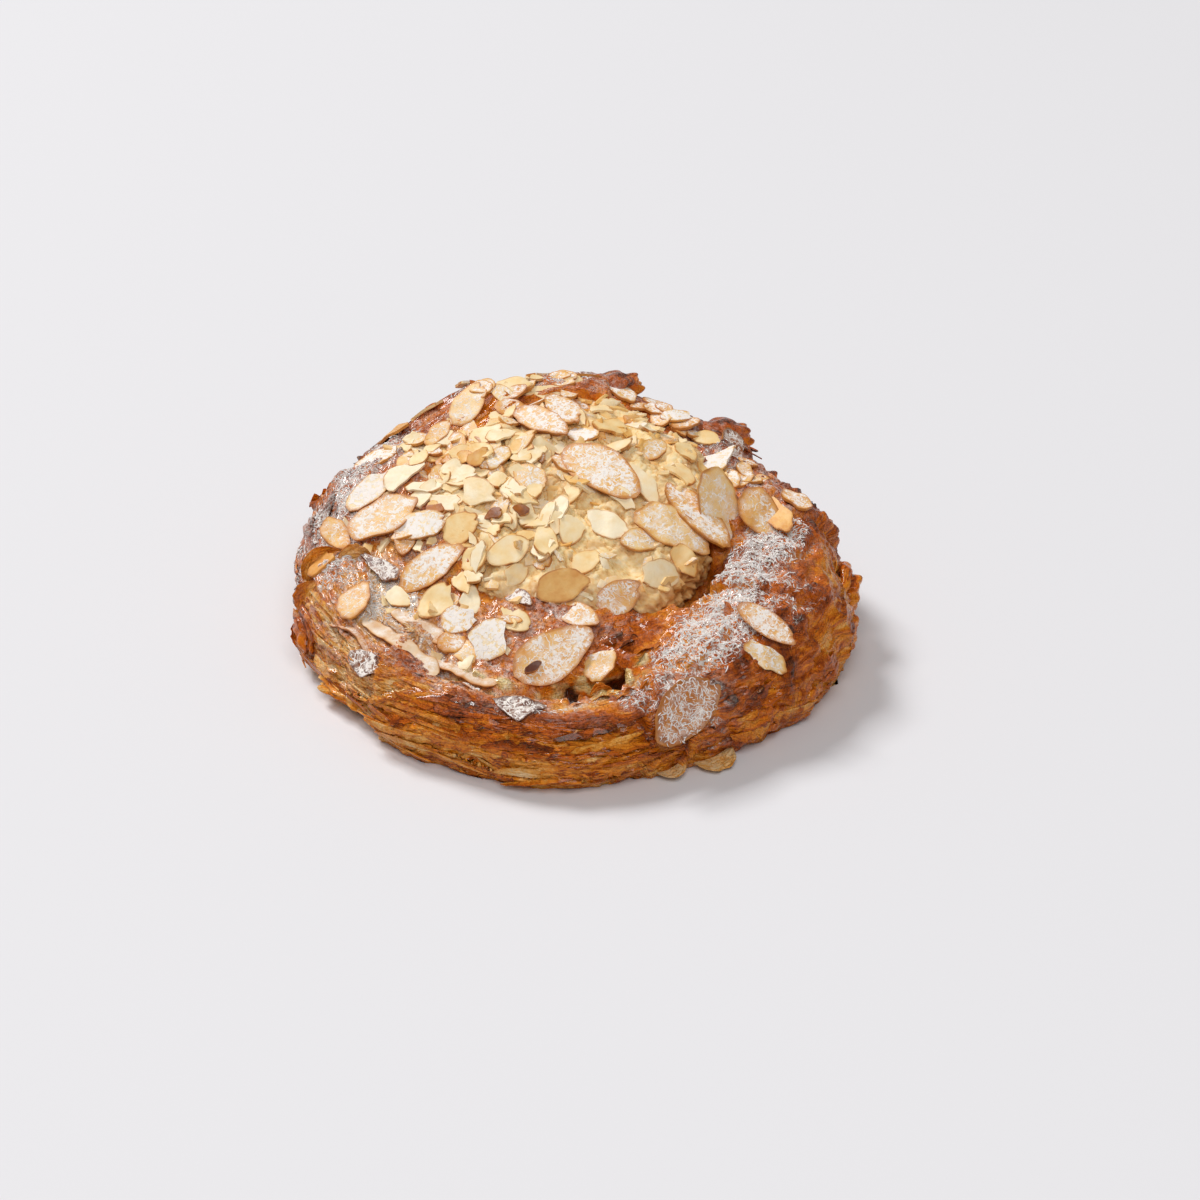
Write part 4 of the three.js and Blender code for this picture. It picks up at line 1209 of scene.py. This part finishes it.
INNER_LOOKS = ["cream", "plain", "yellow", "plain", "plain", "cream", "tan"]
OUTER_LOOKS = ["tan", "brown", "dusted", "plain", "cream"]
REAR_LOOKS = {"plain": "dusted", "cream": "brown"}  # towards the back the pale ones are sugared or browned
BEHIND_LOOKS = ["brown", "tan", "dusted", "brown", "plain"]
FOLDED_ENDS = [(10, 53, 11), (38, 44, 10)]  # x, y and reach of the two at the back, which lie bare
BARE_STRIPS = (-40, -37, 12)  # the same for the pale torn strips
THROWN, THROWN_BEHIND = 250, 46  # how many are thrown, before those in the way of others are left out


def covers_big(x, y, share, own):
    """Whether a flake here would cover one of the big ones."""
    return any(math.hypot(x - big[0], y - big[1]) < share * big[3] + own for big in BIG_FLAKES)


chance = np.random.default_rng(5)
flakes = []
# More flakes lie thickly round the left and the back of the cream, over each other and under the big ones.
for _ in range(THROWN):
    way_out, share = chance.uniform(85, 250), chance.uniform(0.35, 1.45)
    fx, fy = (float(c) for c in round_cream(way_out, share * float(cream_edge(way_out))))
    long = chance.uniform(5, 10)
    look = chance.choice(INNER_LOOKS if share < 1.25 else OUTER_LOOKS)
    look = REAR_LOOKS.get(look, look) if fy > 36 else look
    row = (fx, fy, chance.uniform(-90, 90), long, long * chance.uniform(0.5, 0.8), chance.uniform(-18, 18),
           chance.uniform(-1.0, 0.6), look)
    if not covers_big(fx, fy, 0.36, 0.15 * long) and math.hypot(fx, fy) < 52:
        flakes.append(row)
# Some lie behind the cream, on the crust of the back.
for _ in range(THROWN_BEHIND):
    way_out, far = chance.uniform(22, 100), chance.uniform(42, 55)
    fx, fy = (float(c) for c in on_plan(way_out, far))
    long = chance.uniform(5, 10)
    on_end = any(math.hypot(fx - ex, fy - ey) < reach_of for ex, ey, reach_of in FOLDED_ENDS)
    if not on_end and not on_cream(fx, fy) and not covers_big(fx, fy, 0.3, 0.2 * long):
        flakes.append((fx, fy, chance.uniform(-90, 90), long, long * chance.uniform(0.5, 0.75),
                       chance.uniform(-20, 20), chance.uniform(-1.0, 0.2), chance.choice(BEHIND_LOOKS)))
for row in small_flakes(28, 8.5, 13, 8, True):
    flakes.append((*row, -0.3, chance.choice(["cream", "plain", "yellow", "pale"])))
for row in small_flakes(22, 10, 15, 9, False):
    if math.hypot(row[0] - BARE_STRIPS[0], row[1] - BARE_STRIPS[1]) >= BARE_STRIPS[2]:
        flakes.append((*row, 0.1, chance.choice(["dusted", "brown", "plain", "tan", "white"])))
cream_tray, pastry_tray = Tray(), Tray()
for row in flakes + BIG_FLAKES + BITS_BY_HAND:
    (cream_tray if on_cream(row[0], row[1]) else pastry_tray).lay(row, chance)
cream_flakes = cream_tray.finish("flaked_almonds_on_cream")
pastry_flakes = pastry_tray.finish("flaked_almonds_on_crust")

# %% [markdown]
# ## Shards of crust
#
# The outermost layers bake dry and lift off in thin curled shards. Each is a narrow sheet that starts
# just inside the skin, lifts by an angle and curls on from there. It has two sides and a ragged edge.

# %% Shards
SHARDS = [  # x, y, z, turn from the roll's direction, long, wide, lift, curl, bake, sugar
    (-60, 17, 28, 185, 9, 4, 10, -10, 0.75, 0.5), (-52, 29, 33, 175, 9, 4, 9, -10, 0.7, 0.5),
    (-68, 4, 19, 180, 10, 4, 10, -15, 0.6, 0.2), (-67, -4, 19, 180, 11, 4, 10, -10, 0.55, 0.2),
    (-60, -10, 24, 160, 10, 5, 40, 20, 0.12, 0.0), (-54, -9, 26, 150, 7, 4, 35, 20, 0.12, 0.0),
    (-67, -17, 19, 175, 14, 6, 24, -50, 0.45, 0.1), (-66, -24, 12, 185, 12, 5, 14, -30, 0.45, 0.0),
    (-18, -46, 15, 20, 9, 5, 60, 90, 0.40, 0.0), (-30, -56, 15, 170, 12, 5, 35, 20, 0.5, 0.0),
    (-38, -52, 13, 190, 12, 5, 30, 10, 0.48, 0.0), (-22, -60, 15, 160, 10, 4, 30, 20, 0.6, 0.1),
    (-19, 51, 46, 190, 14, 5, 12, 0, 0.6, 0.4), (-9, 52, 46, 170, 12, 5, 12, 0, 0.58, 0.4),
    (-25, 45, 45, 200, 10, 4, 16, 0, 0.45, 0.1), (20, 44, 40, 180, 14, 5, 8, 0, 0.55, 0.2),
    (30, 36, 37, 170, 12, 5, 14, 0, 0.55, 0.2), (25, 30, 40, 0, 10, 5, 30, 20, 0.45, 0.3),
    (63, -36, 12, 200, 7, 3.5, 30, -20, 0.7, 0.1), (45, -58, 6, 180, 12, 3, 15, 0, 0.35, 0.0),
    (40, -33, 26, 30, 10, 3, 25, 0, 0.55, 0.5), (58, -33, 22, 35, 12, 3, 25, 0, 0.6, 0.1),
]
UNDER_EDGE = [  # two flat golden shards that lie half under the front right edge
    (34.5, -60.5, 2.0, 180, 11, 5.0, 116, -6, 0.0, 0.0), (25.5, -66, 1.8, 180, 8, 3.6, 116, 0, 0.04, 0.0),
]
STANDING = [  # curled golden sheets that stand up at the left
    (-61, -8, 23, 108, 12, 5.0, 52, 40, 0.26, 0.0), (-54, -10, 26, 84, 9, 4.5, 46, 40, 0.2, 0.0),
    (-64, -17, 20, 110, 9, 4.5, 40, 34, 0.3, 0.0),
]
SHARD_THICK = 0.35
turn_flat = np.radians(angle_flat)
skin_tangent = np.stack([-np.sin(turn_flat), np.cos(turn_flat), 0 * turn_flat], axis=1)


def shard(row, n, rows_in, start, uneven=1.0):
    """One lifted shard of n points by rows_in: its points, faces, values and roll coordinates."""
    px, py, pz, turned, long, wide, lift, curl, brown, sweet = row
    nearest = int(np.argmin(((skin - [px, py, pz]) ** 2).sum(axis=1)))
    normal = even_normals[nearest]
    along = unit(skin_tangent[nearest] - normal * np.dot(skin_tangent[nearest], normal))
    along = turned_about(along, normal, turned)
    across = np.cross(normal, along)
    a = np.linspace(-0.5, 0.5, n) * long
    ragged = noise(np.stack([a, 0 * a + px, 0 * a + py], axis=1), 1.6, 61)
    reach_there = wide * np.sqrt(np.clip(1.02 - (2 * a / long) ** 2, 0, 1)) * (1 + 0.35 * uneven * ragged)
    sheets = []
    for side_of in (0.5, -0.5):
        place = skin[nearest] + np.outer(a, along) - np.outer(start + 0.9 * (2 * a / long) ** 2, normal)
        sheet = []
        for k in range(rows_in):
            t = k / (rows_in - 1)
            angle = np.radians(lift + curl * t + 12 * uneven * ragged)
            out = np.outer(np.cos(angle), across) + np.outer(np.sin(angle), normal)
            off = np.outer(-np.sin(angle), across) + np.outer(np.cos(angle), normal)
            sheet.append(place + off * (SHARD_THICK * (1 - 0.6 * t)) * side_of)
            place = place + out * (reach_there / (rows_in - 1))[:, None]
        sheets.append(np.array(sheet))
    points = np.concatenate([sheet.reshape(-1, 3) for sheet in sheets])
    points[:, 2] = np.maximum(points[:, 2], 0.1)
    one_side = n * rows_in
    faces = []
    for k in range(rows_in - 1):
        for i in range(n - 1):
            q = [k * n + i, k * n + i + 1, (k + 1) * n + i + 1, (k + 1) * n + i]
            faces += [q, [one_side + v for v in q[::-1]]]
    border = [*range(n), *[k * n + n - 1 for k in range(1, rows_in)]]
    border += [*range(one_side - 2, one_side - n - 1, -1), *[k * n for k in range(rows_in - 2, 0, -1)]]
    for here, after in zip(border, border[1:] + border[:1]):
        faces.append([after, here, here + one_side, after + one_side])
    share = np.tile(np.repeat(np.linspace(0, 1, rows_in), n), 2)
    values = {
        "bake": brown + 0.16 * (share - 0.4), "crumb": 0.0, "flank": 0.5,
        "dust": np.repeat([0.6 * sweet, 0.0], one_side),
        "powder": 0.8 * uneven * float(powder_map[nearest]),
    }
    off_lay = np.stack([np.tile(a, 2 * rows_in), 0 * share, share * wide * STRETCH], axis=1)
    return points, faces, values, lay_flat[nearest] + off_lay


def random_shard(chance, wish, lift, longest, widest, most_curl, stray):
    """A small shard where the wish says, with the colour and sugar of the skin under it."""
    while True:
        i = int(chance.integers(0, len(skin)))
        gaps = np.linalg.norm(spots[:, :3] - skin[i], axis=1) - 0.5 * spots[:, 3]
        if chance.uniform(0, 1) < wish[i] and under[i] < 0.1 and gaps.min() > 2.0:
            break
    slim = 1 + 0.4 * left_front[i]
    return (
        *skin[i], 180 * chance.integers(0, 2) + stray * chance.uniform(-1, 1) / slim**2,
        chance.uniform(0.35, 1) * longest * slim, chance.uniform(0.35, 1) * widest / slim,
        chance.uniform(0.3, 1) * lift * (1 - 0.65 * rear[i]), chance.uniform(-30, most_curl),
        float(bake_and_shade_map[i]) + chance.uniform(-0.12, 0.1), float(dust_map[i]),
    )


STRIPS = [  # from x, y to x, y, half width, thickness, how far it bows, bake
    (-50, -30, -31.5, -50.5, 3.4, 1.0, 0.8, 0.06), (-43, -27, -29, -37.5, 3.2, 0.9, -0.5, 0.1),
    (-59, -26, -47, -43, 1.1, 0.9, 1.2, 0.35), (-33, -41, -17, -49.5, 2.8, 0.8, -0.6, 0.14),
]
# Places that shards keep away from, with their reach: the flakes, and six along each strip.
beside = [
    (x0 + (x1 - x0) * t, y0 + (y1 - y0) * t) for x0, y0, x1, y1, *_ in STRIPS for t in np.linspace(0, 1, 6)]
spots = np.array(Tray.spots + [(px, py, float(surface_at(px, py)), 3.0) for px, py in beside])
rear = smooth(y, 0, 25)
left_front = towards(angle_flat, 218, 0.75, 0.95)
loose_wish = (0.9 * left + 0.3 * side) * smooth(-x, 0, 30) * (facing_up > 0.05)
wall_wish = side * (1 - 0.85 * arm) * smooth(z, 2.5, 6) * (1 - 0.85 * smooth(x, 50, 58))
torn_wish = between * (facing_up > 0.3)
back_wish = towards(angle_flat, 50, 0.6, 0.9) * smooth(span_flat, 40, 48) * (facing_up > 0.3)
BY_HAND = (17, 6)  # points along and across a shard that is listed
wanted = [(row, *BY_HAND, 0.35) for row in SHARDS]
# Each row is the wish, lift, longest, widest, most curl, how far astray, points along, start depth, number.
for wish, lift, longest, widest, curl, stray, n, start, count in (
    (loose_wish, 18, 9, 3.5, 5, 25, 11, 0.3, 130), (wall_wish, 9, 22, 3.2, -5, 12, 15, 0.05, 420),
    (torn_wish, 40, 6, 3.0, 20, 25, 11, 0.2, 110), (back_wish, 26, 10, 4.0, 10, 25, 11, 0.25, 36),
):
    for _ in range(count):
        wanted.append((random_shard(chance, wish, lift, longest, widest, curl, stray), n, 4, start))
parts = [shard(*wish) for wish in wanted]
parts = [part for part in parts if (part[0] > LOWEST).all() and (part[0] < HIGHEST).all()]
print("shards:", len(parts), "of", len(wanted), "lie within the solids' box")

STANDS_OFF = 1.9  # no part of those shards is farther from the skin than this, in mm
skin_tree = KDTree(len(skin))
for i, place in enumerate(skin):
    skin_tree.insert(place, i)
skin_tree.balance()
parts = [part for part in parts if part[0][:, 2].min() > 0.5 and max(
    skin_tree.find(place)[2] for place in part[0][::3]) < STANDS_OFF]
parts += [shard(row, *BY_HAND, 0.0, 0.3) for row in UNDER_EDGE + STANDING]
print("shards that lie close enough, and those set by hand:", len(parts))
points, faces, values, lays = gather(parts)
shard_piece = piece_from("crust_shards", points, faces, values, crust_material, lays, crisp=50)

# %% Pale strips of torn layer at the front left
STRIP_ALONG, STRIP_ROUND = 70, 24


def strip(row):
    """One strip: a flat strand that lies on the skin."""
    x0, y0, x1, y1, half, thick, bow, brown = row
    t = np.linspace(0, 1, STRIP_ALONG)
    axis = unit(np.array([x1 - x0, y1 - y0, 0.0]))
    sideways = np.array([-axis[1], axis[0], 0.0])
    bowed = bow * (1 - (2 * t - 1) ** 2)
    line_x, line_y = x0 + (x1 - x0) * t + bowed * sideways[0], y0 + (y1 - y0) * t + bowed * sideways[1]
    tops = np.flatnonzero(facing_up > 0.3)
    heights = []
    for px, py in zip(line_x, line_y):
        gaps = (skin[tops, 0] - px) ** 2 + (skin[tops, 1] - py) ** 2
        heights.append(skin[tops[np.argsort(gaps)[:16]], 2].mean())
    heights = np.convolve(np.pad(heights, 9, mode="edge"), np.ones(19) / 19, mode="valid")
    line = np.stack([line_x, line_y, heights + 0.45 * thick], axis=1)
    taper = rounded(np.abs(2 * t - 1), 3) * (0.8 + 0.2 * t + 0.3 * noise(line, 5.0, 71))
    way = -np.arange(STRIP_ROUND) * 2 * np.pi / STRIP_ROUND
    across, up = np.cos(way), np.sign(np.sin(way)) * np.abs(np.sin(way)) ** 0.5
    rings = []
    for middle, width in zip(line, taper):
        ring = middle + np.outer(across * half * width, sideways)
        ring[:, 2] += up * thick / 2 * max(width, 0.1)
        rings.append(ring)
    points = capped(line[0], np.concatenate(rings), line[-1])
    points += 0.3 * noise(points, 2.8, 72)[:, None] * np.array([0.5, 0.5, 0.7])
    top = capped(0.5, np.tile(np.sin(way), STRIP_ALONG), 0.5)
    values = {
        "bake": brown + 0.42 * (1 - smooth(top, 0.0, 0.8)) + 0.14 * noise(points, 3.0, 73),
        "powder": 0.3 * smooth(top, 0.3, 0.95),
    }
    return points, ring_faces(STRIP_ALONG, STRIP_ROUND), values, points


points, faces, values, _ = gather([strip(row) for row in STRIPS])
strip_piece = piece_from("torn_layer_strips", points, faces, values, layer_material)

# %% [markdown]
# ## What is strewn: bits of almond and threads of sugar
#
# Broken bits of almond repeat in hundreds and short threads of sugar in thousands. Geometry Nodes scatter
# them: points are strewn over a piece as thickly as one of its attributes asks, each gets one of a few
# kinds with its own turn and size, and the whole is made a plain mesh.

# %% One scatter tree for all of them
LYING = (0.35, 0.35, 3.14)  # radians about each axis: tipped a little, and any way round


def scatter(name, ground, kinds, material, density_attribute, sizes, seed, spread_turn=LYING):
    """Strews kinds over a ground piece and returns the plain mesh object."""
    box = bpy.data.collections.new(name + "_kinds")
    for kind in kinds:
        box.objects.link(kind)
    tree = bpy.data.node_groups.new(name, "GeometryNodeTree")
    tree.interface.new_socket("Ground", in_out="INPUT", socket_type="NodeSocketGeometry")
    named = {}
    for title in ("Distance apart", "Most per square metre", "Smallest", "Largest"):
        named[title] = tree.interface.new_socket(title, in_out="INPUT", socket_type="NodeSocketFloat")
    tree.interface.new_socket("Strewn", in_out="OUTPUT", socket_type="NodeSocketGeometry")
    given = add(tree, "NodeGroupInput").outputs
    wanted = add(tree, "GeometryNodeInputNamedAttribute", {"Name": density_attribute}, data_type="FLOAT")
    strewn = add(tree, "GeometryNodeDistributePointsOnFaces", {
        "Mesh": given["Ground"], "Distance Min": given["Distance apart"],
        "Density Max": given["Most per square metre"], "Density Factor": wanted, "Seed": seed,
    }, distribute_method="POISSON")
    turns = add(tree, "FunctionNodeRandomValue", {
        0: tuple(-t for t in spread_turn), 1: spread_turn, "Seed": seed + 1}, data_type="FLOAT_VECTOR")
    as_turn = add(tree, "FunctionNodeEulerToRotation", {0: turns})
    turned = add(tree, "FunctionNodeRotateRotation", {
        "Rotation": strewn.outputs["Rotation"], "Rotate By": as_turn}, rotation_space="LOCAL")
    size = add(tree, "FunctionNodeRandomValue", {
        2: given["Smallest"], 3: given["Largest"], "Seed": seed + 2}, data_type="FLOAT")
    shapes = add(tree, "GeometryNodeCollectionInfo", {
        "Collection": box, "Separate Children": True, "Reset Children": True})
    set_out = add(tree, "GeometryNodeInstanceOnPoints", {
        "Points": strewn.outputs["Points"], "Instance": shapes, "Pick Instance": True,
        "Rotation": turned, "Scale": size,
    })
    tone = add(tree, "FunctionNodeRandomValue", {2: 0.0, 3: 1.0, "Seed": seed + 3}, data_type="FLOAT")
    toned = add(tree, "GeometryNodeStoreNamedAttribute", {
        "Geometry": set_out, "Name": "tone", "Value": tone}, data_type="FLOAT", domain="INSTANCE")
    real = add(tree, "GeometryNodeRealizeInstances", {"Geometry": toned})
    dressed = add(tree, "GeometryNodeSetMaterial", {"Geometry": real, "Material": material})
    add(tree, "NodeGroupOutput", {"Strewn": dressed})
    helper = shown(name + "_ground", ground.data)
    modifier = helper.modifiers.new("strew", "NODES")
    modifier.node_group = tree
    for title, value in zip(named, sizes):
        modifier[named[title].identifier] = value
    evaluated = helper.evaluated_get(bpy.context.evaluated_depsgraph_get())
    mesh = bpy.data.meshes.new_from_object(evaluated)
    helper.modifiers.clear()
    for used_up in (helper, *kinds):
        bpy.data.objects.remove(used_up)
    bpy.data.collections.remove(box)
    mesh.name = name
    mesh.set_sharp_from_angle(angle=math.radians(38))
    places = np.empty(len(mesh.vertices) * 3, np.float32)
    mesh.vertices.foreach_get("co", places)
    places = np.clip(places.reshape(-1, 3), LOW_EDGE * MM, HIGH_EDGE * MM)
    mesh.vertices.foreach_set("co", places.ravel())
    mesh.update()
    print(f"{name}: {sum(len(p.vertices) - 2 for p in mesh.polygons)} triangles")
    return shown(name, mesh)


def kind_from(name, points, faces, values):
    """One kind for a scatter: an unlinked object whose size is in millimetres."""
    mesh = bpy.data.meshes.new(name)
    mesh.from_pydata((np.asarray(points) * MM).tolist(), [], faces)
    for title, numbers in values.items():
        give(mesh, title, numbers)
    mesh.shade_smooth()
    return bpy.data.objects.new(name, mesh)


# %% Broken almond bits
def bit_kind(index, chance):
    """A broken bit of almond, about 5 mm long: an uneven slab with seven to nine corners."""
    corners = int(chance.integers(7, 10))
    even = np.arange(corners) * 2 * np.pi / corners * 0.95
    way = np.sort(chance.uniform(0, 2 * np.pi, corners) * 0.35 + even)
    far = chance.uniform(0.75, 1.1, corners)
    ox, oy = np.cos(way) * far * 2.9, np.sin(way) * far * chance.uniform(1.3, 2.1)
    half, bend = chance.uniform(0.35, 0.6), chance.uniform(-0.06, 0.1)
    rings, rims = [], []
    for share, up in ((0.8, 1), (1.0, 0.8), (0.97, -0.8), (0.7, -1)):
        rings.append(np.stack([ox * share, oy * share, up * half - bend * (ox * share) ** 2], axis=1))
        rims.append(np.full(corners, share * 0.9))
    points = capped([0, 0, half], np.concatenate(rings), [0, 0, -half])
    values = {
        "rim": capped(0, np.concatenate(rims), 0), "toast": np.full(len(points), chance.uniform(0.05, 0.5)),
        "dust": np.where(points[:, 2] > 0, chance.choice([0.0, 0.0, 0.2, 0.45]), 0.0),
    }
    return kind_from(f"bit_{index}", points, ring_faces(4, corners), values)


# Least distance apart in metres, most per square metre, smallest and largest.
CREAM_BITS, CRUST_BITS = (0.0027, 120000.0, 0.6, 1.35), (0.0035, 60000.0, 0.6, 1.3)
cream_up = capped(1, np.clip(grid_normals(cream_rows)[..., 2].reshape(-1), 0, 1), 0)
cream_x, cream_y = capped(CREAM["x"], cx, CREAM["x"]), capped(CREAM["y"], cy, CREAM["y"])
thick_there = 0.5 + 0.5 * smooth(cream_y - cream_x * 0.7, -10, 15)
thick_there = np.clip(thick_there - 0.35 * patches(FEW_BITS, cream_x, cream_y), 0, 1)
give(cream_piece.data, "bits", smooth(cream_up, 0.3, 0.7) * thick_there)
cream_bits = scatter(
    "almond_bits_on_cream", cream_piece, [bit_kind(i, chance) for i in range(9)], almond_material,
    "bits", CREAM_BITS, 11)
fallen = 0.5 * smooth(facing_up, 0.5, 0.8) * smooth(-x * 0.8 + np.abs(y) * 0.3, 5, 30)
fallen = fallen * (1 - smooth(span_flat, 46, 60)) * smooth(cream_share(x, y), 1.0, 1.04)
give(crust_piece.data, "bits", capped(0, fallen, 0))
crust_bits = scatter(
    "almond_bits_on_crust", crust_piece, [bit_kind(i + 20, chance) for i in range(7)], almond_material,
    "bits", CRUST_BITS, 23)

# %% Threads of icing sugar
def thread_kind(index, chance):
    """A short bent thread of sugar, about 1.5 mm long: three small rings between two tips."""
    half, bend = chance.uniform(0.45, 0.95), chance.uniform(-0.5, 0.5)
    t = np.linspace(-1, 1, 5)
    line = np.stack([t * half, bend * half * (t**2 - 0.4), 0.08 + 0.05 * np.cos(t * 3)], axis=1)
    turn_by = np.arange(3) * 2 * np.pi / 3
    round_it = np.stack([0 * turn_by, np.sin(turn_by), np.cos(turn_by)], 1)
    rings = [place + round_it * chance.uniform(0.1, 0.15) for place in line[1:4]]
    points = capped(line[0], np.concatenate(rings), line[4])
    return kind_from(f"thread_{index}", points, ring_faces(3, 3), {})


THREAD_SIZES = (0.00036, 2600000.0, 0.7, 1.25)  # as for the bits
give(crust_piece.data, "clumps", np.clip(crust_values["dust"] * 1.5 - 0.45, 0, 1))
sugar_on_crust = scatter(
    "icing_sugar_on_crust", crust_piece, [thread_kind(i, chance) for i in range(7)], sugar_material,
    "clumps", THREAD_SIZES, 37)
# Of the flakes, only the one at the front right carries threads too: the others have just a haze.
flake_places = np.concatenate(pastry_tray.points)
on_front = (np.abs(flake_places[:, 0] - 27) < 12) & (flake_places[:, 1] < -48)
flake_dust = np.concatenate(pastry_tray.values["dust"])
give(pastry_flakes.data, "clumps", np.clip(flake_dust * 4.0 - 0.15, 0, 1) * on_front)
sugar_on_flakes = scatter(
    "icing_sugar_on_flakes", pastry_flakes, [thread_kind(i, chance) for i in range(5)], sugar_material,
    "clumps", THREAD_SIZES, 41, spread_turn=(0.15, 0.15, 3.14))

# %% [markdown]
# ## Pieces, bodies and the stand-ins
#
# The croissant is one rigid thing, so every piece rides on the root. The crust stands for the pastry
# solid and the cream for the cream solid, each with the flakes that are fused to it.

# %% Ride and replace
SLOTS = {
    crust_piece: ("crust", ["pastry"]), pastry_flakes: ("flaked_almonds", ["pastry"]),
    cream_piece: ("almond_cream", ["almond_cream"]), cream_flakes: ("flaked_almonds", ["almond_cream"]),
    cream_bits: ("flaked_almonds", []), crust_bits: ("flaked_almonds", []),
    sugar_on_crust: ("icing_sugar", []), sugar_on_flakes: ("icing_sugar", []),
    shard_piece: ("crust", []), strip_piece: ("crust", []), lobe_piece: ("crust", ["pastry"]),
}
for piece, (slot, nodes) in SLOTS.items():
    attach(piece, "root")
    if nodes:
        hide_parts(*nodes)
print("pieces:", [piece.name for piece in SLOTS])

# %% [markdown]
# ## Floor and light
#
# A pale sweep of floor under a large soft lamp at the back left, a weaker one from the front right, and
# an even white surround. The view is plain sRGB, so the colours above come out as they were chosen.

# %% Floor
floor_material, tree = new_material("pale_paper_sweep")
surface = add(tree, "BsdfPrincipled", {"Base Color": linear("#e6e5e8"), "Roughness": 0.9})
add(tree, "OutputMaterial", {"Surface": surface})
FLOOR = 4.0  # metres from the middle to each side
floor_mesh = bpy.data.meshes.new("floor")
corners = [(-FLOOR, -FLOOR, 0), (FLOOR, -FLOOR, 0), (FLOOR, FLOOR, 0), (-FLOOR, FLOOR, 0)]
floor_mesh.from_pydata(corners, [], [(0, 1, 2, 3)])
floor_mesh.materials.append(floor_material)
floor = shown("floor", floor_mesh)

# %% Lamps and surround
LAMPS = [  # name, place in metres, side in metres, power in watts
    ("key_lamp", (-2.25, 2.0, 3.75), 1.5, 158.0), ("fill_lamp", (0.2, -2.2, 3.2), 2.2, 62.0),
]
AIM = Vector((0, 0, 0.02))
for name, place, side_length, power in LAMPS:
    lamp = bpy.data.lights.new(name, "AREA")
    lamp.size = side_length
    lamp.energy = power
    held = shown(name, lamp)
    held.location = place
    held.rotation_euler = facing(AIM - Vector(place))
world = bpy.data.worlds.new("surround")
world.use_nodes = True
surround = world.node_tree.nodes["Background"]
surround.inputs["Color"].default_value = linear("#fffdfa")
surround.inputs["Strength"].default_value = 0.21
bpy.context.scene.world = world
bpy.context.scene.view_settings.view_transform = "Standard"
print("lamps:", [lamp[0] for lamp in LAMPS])
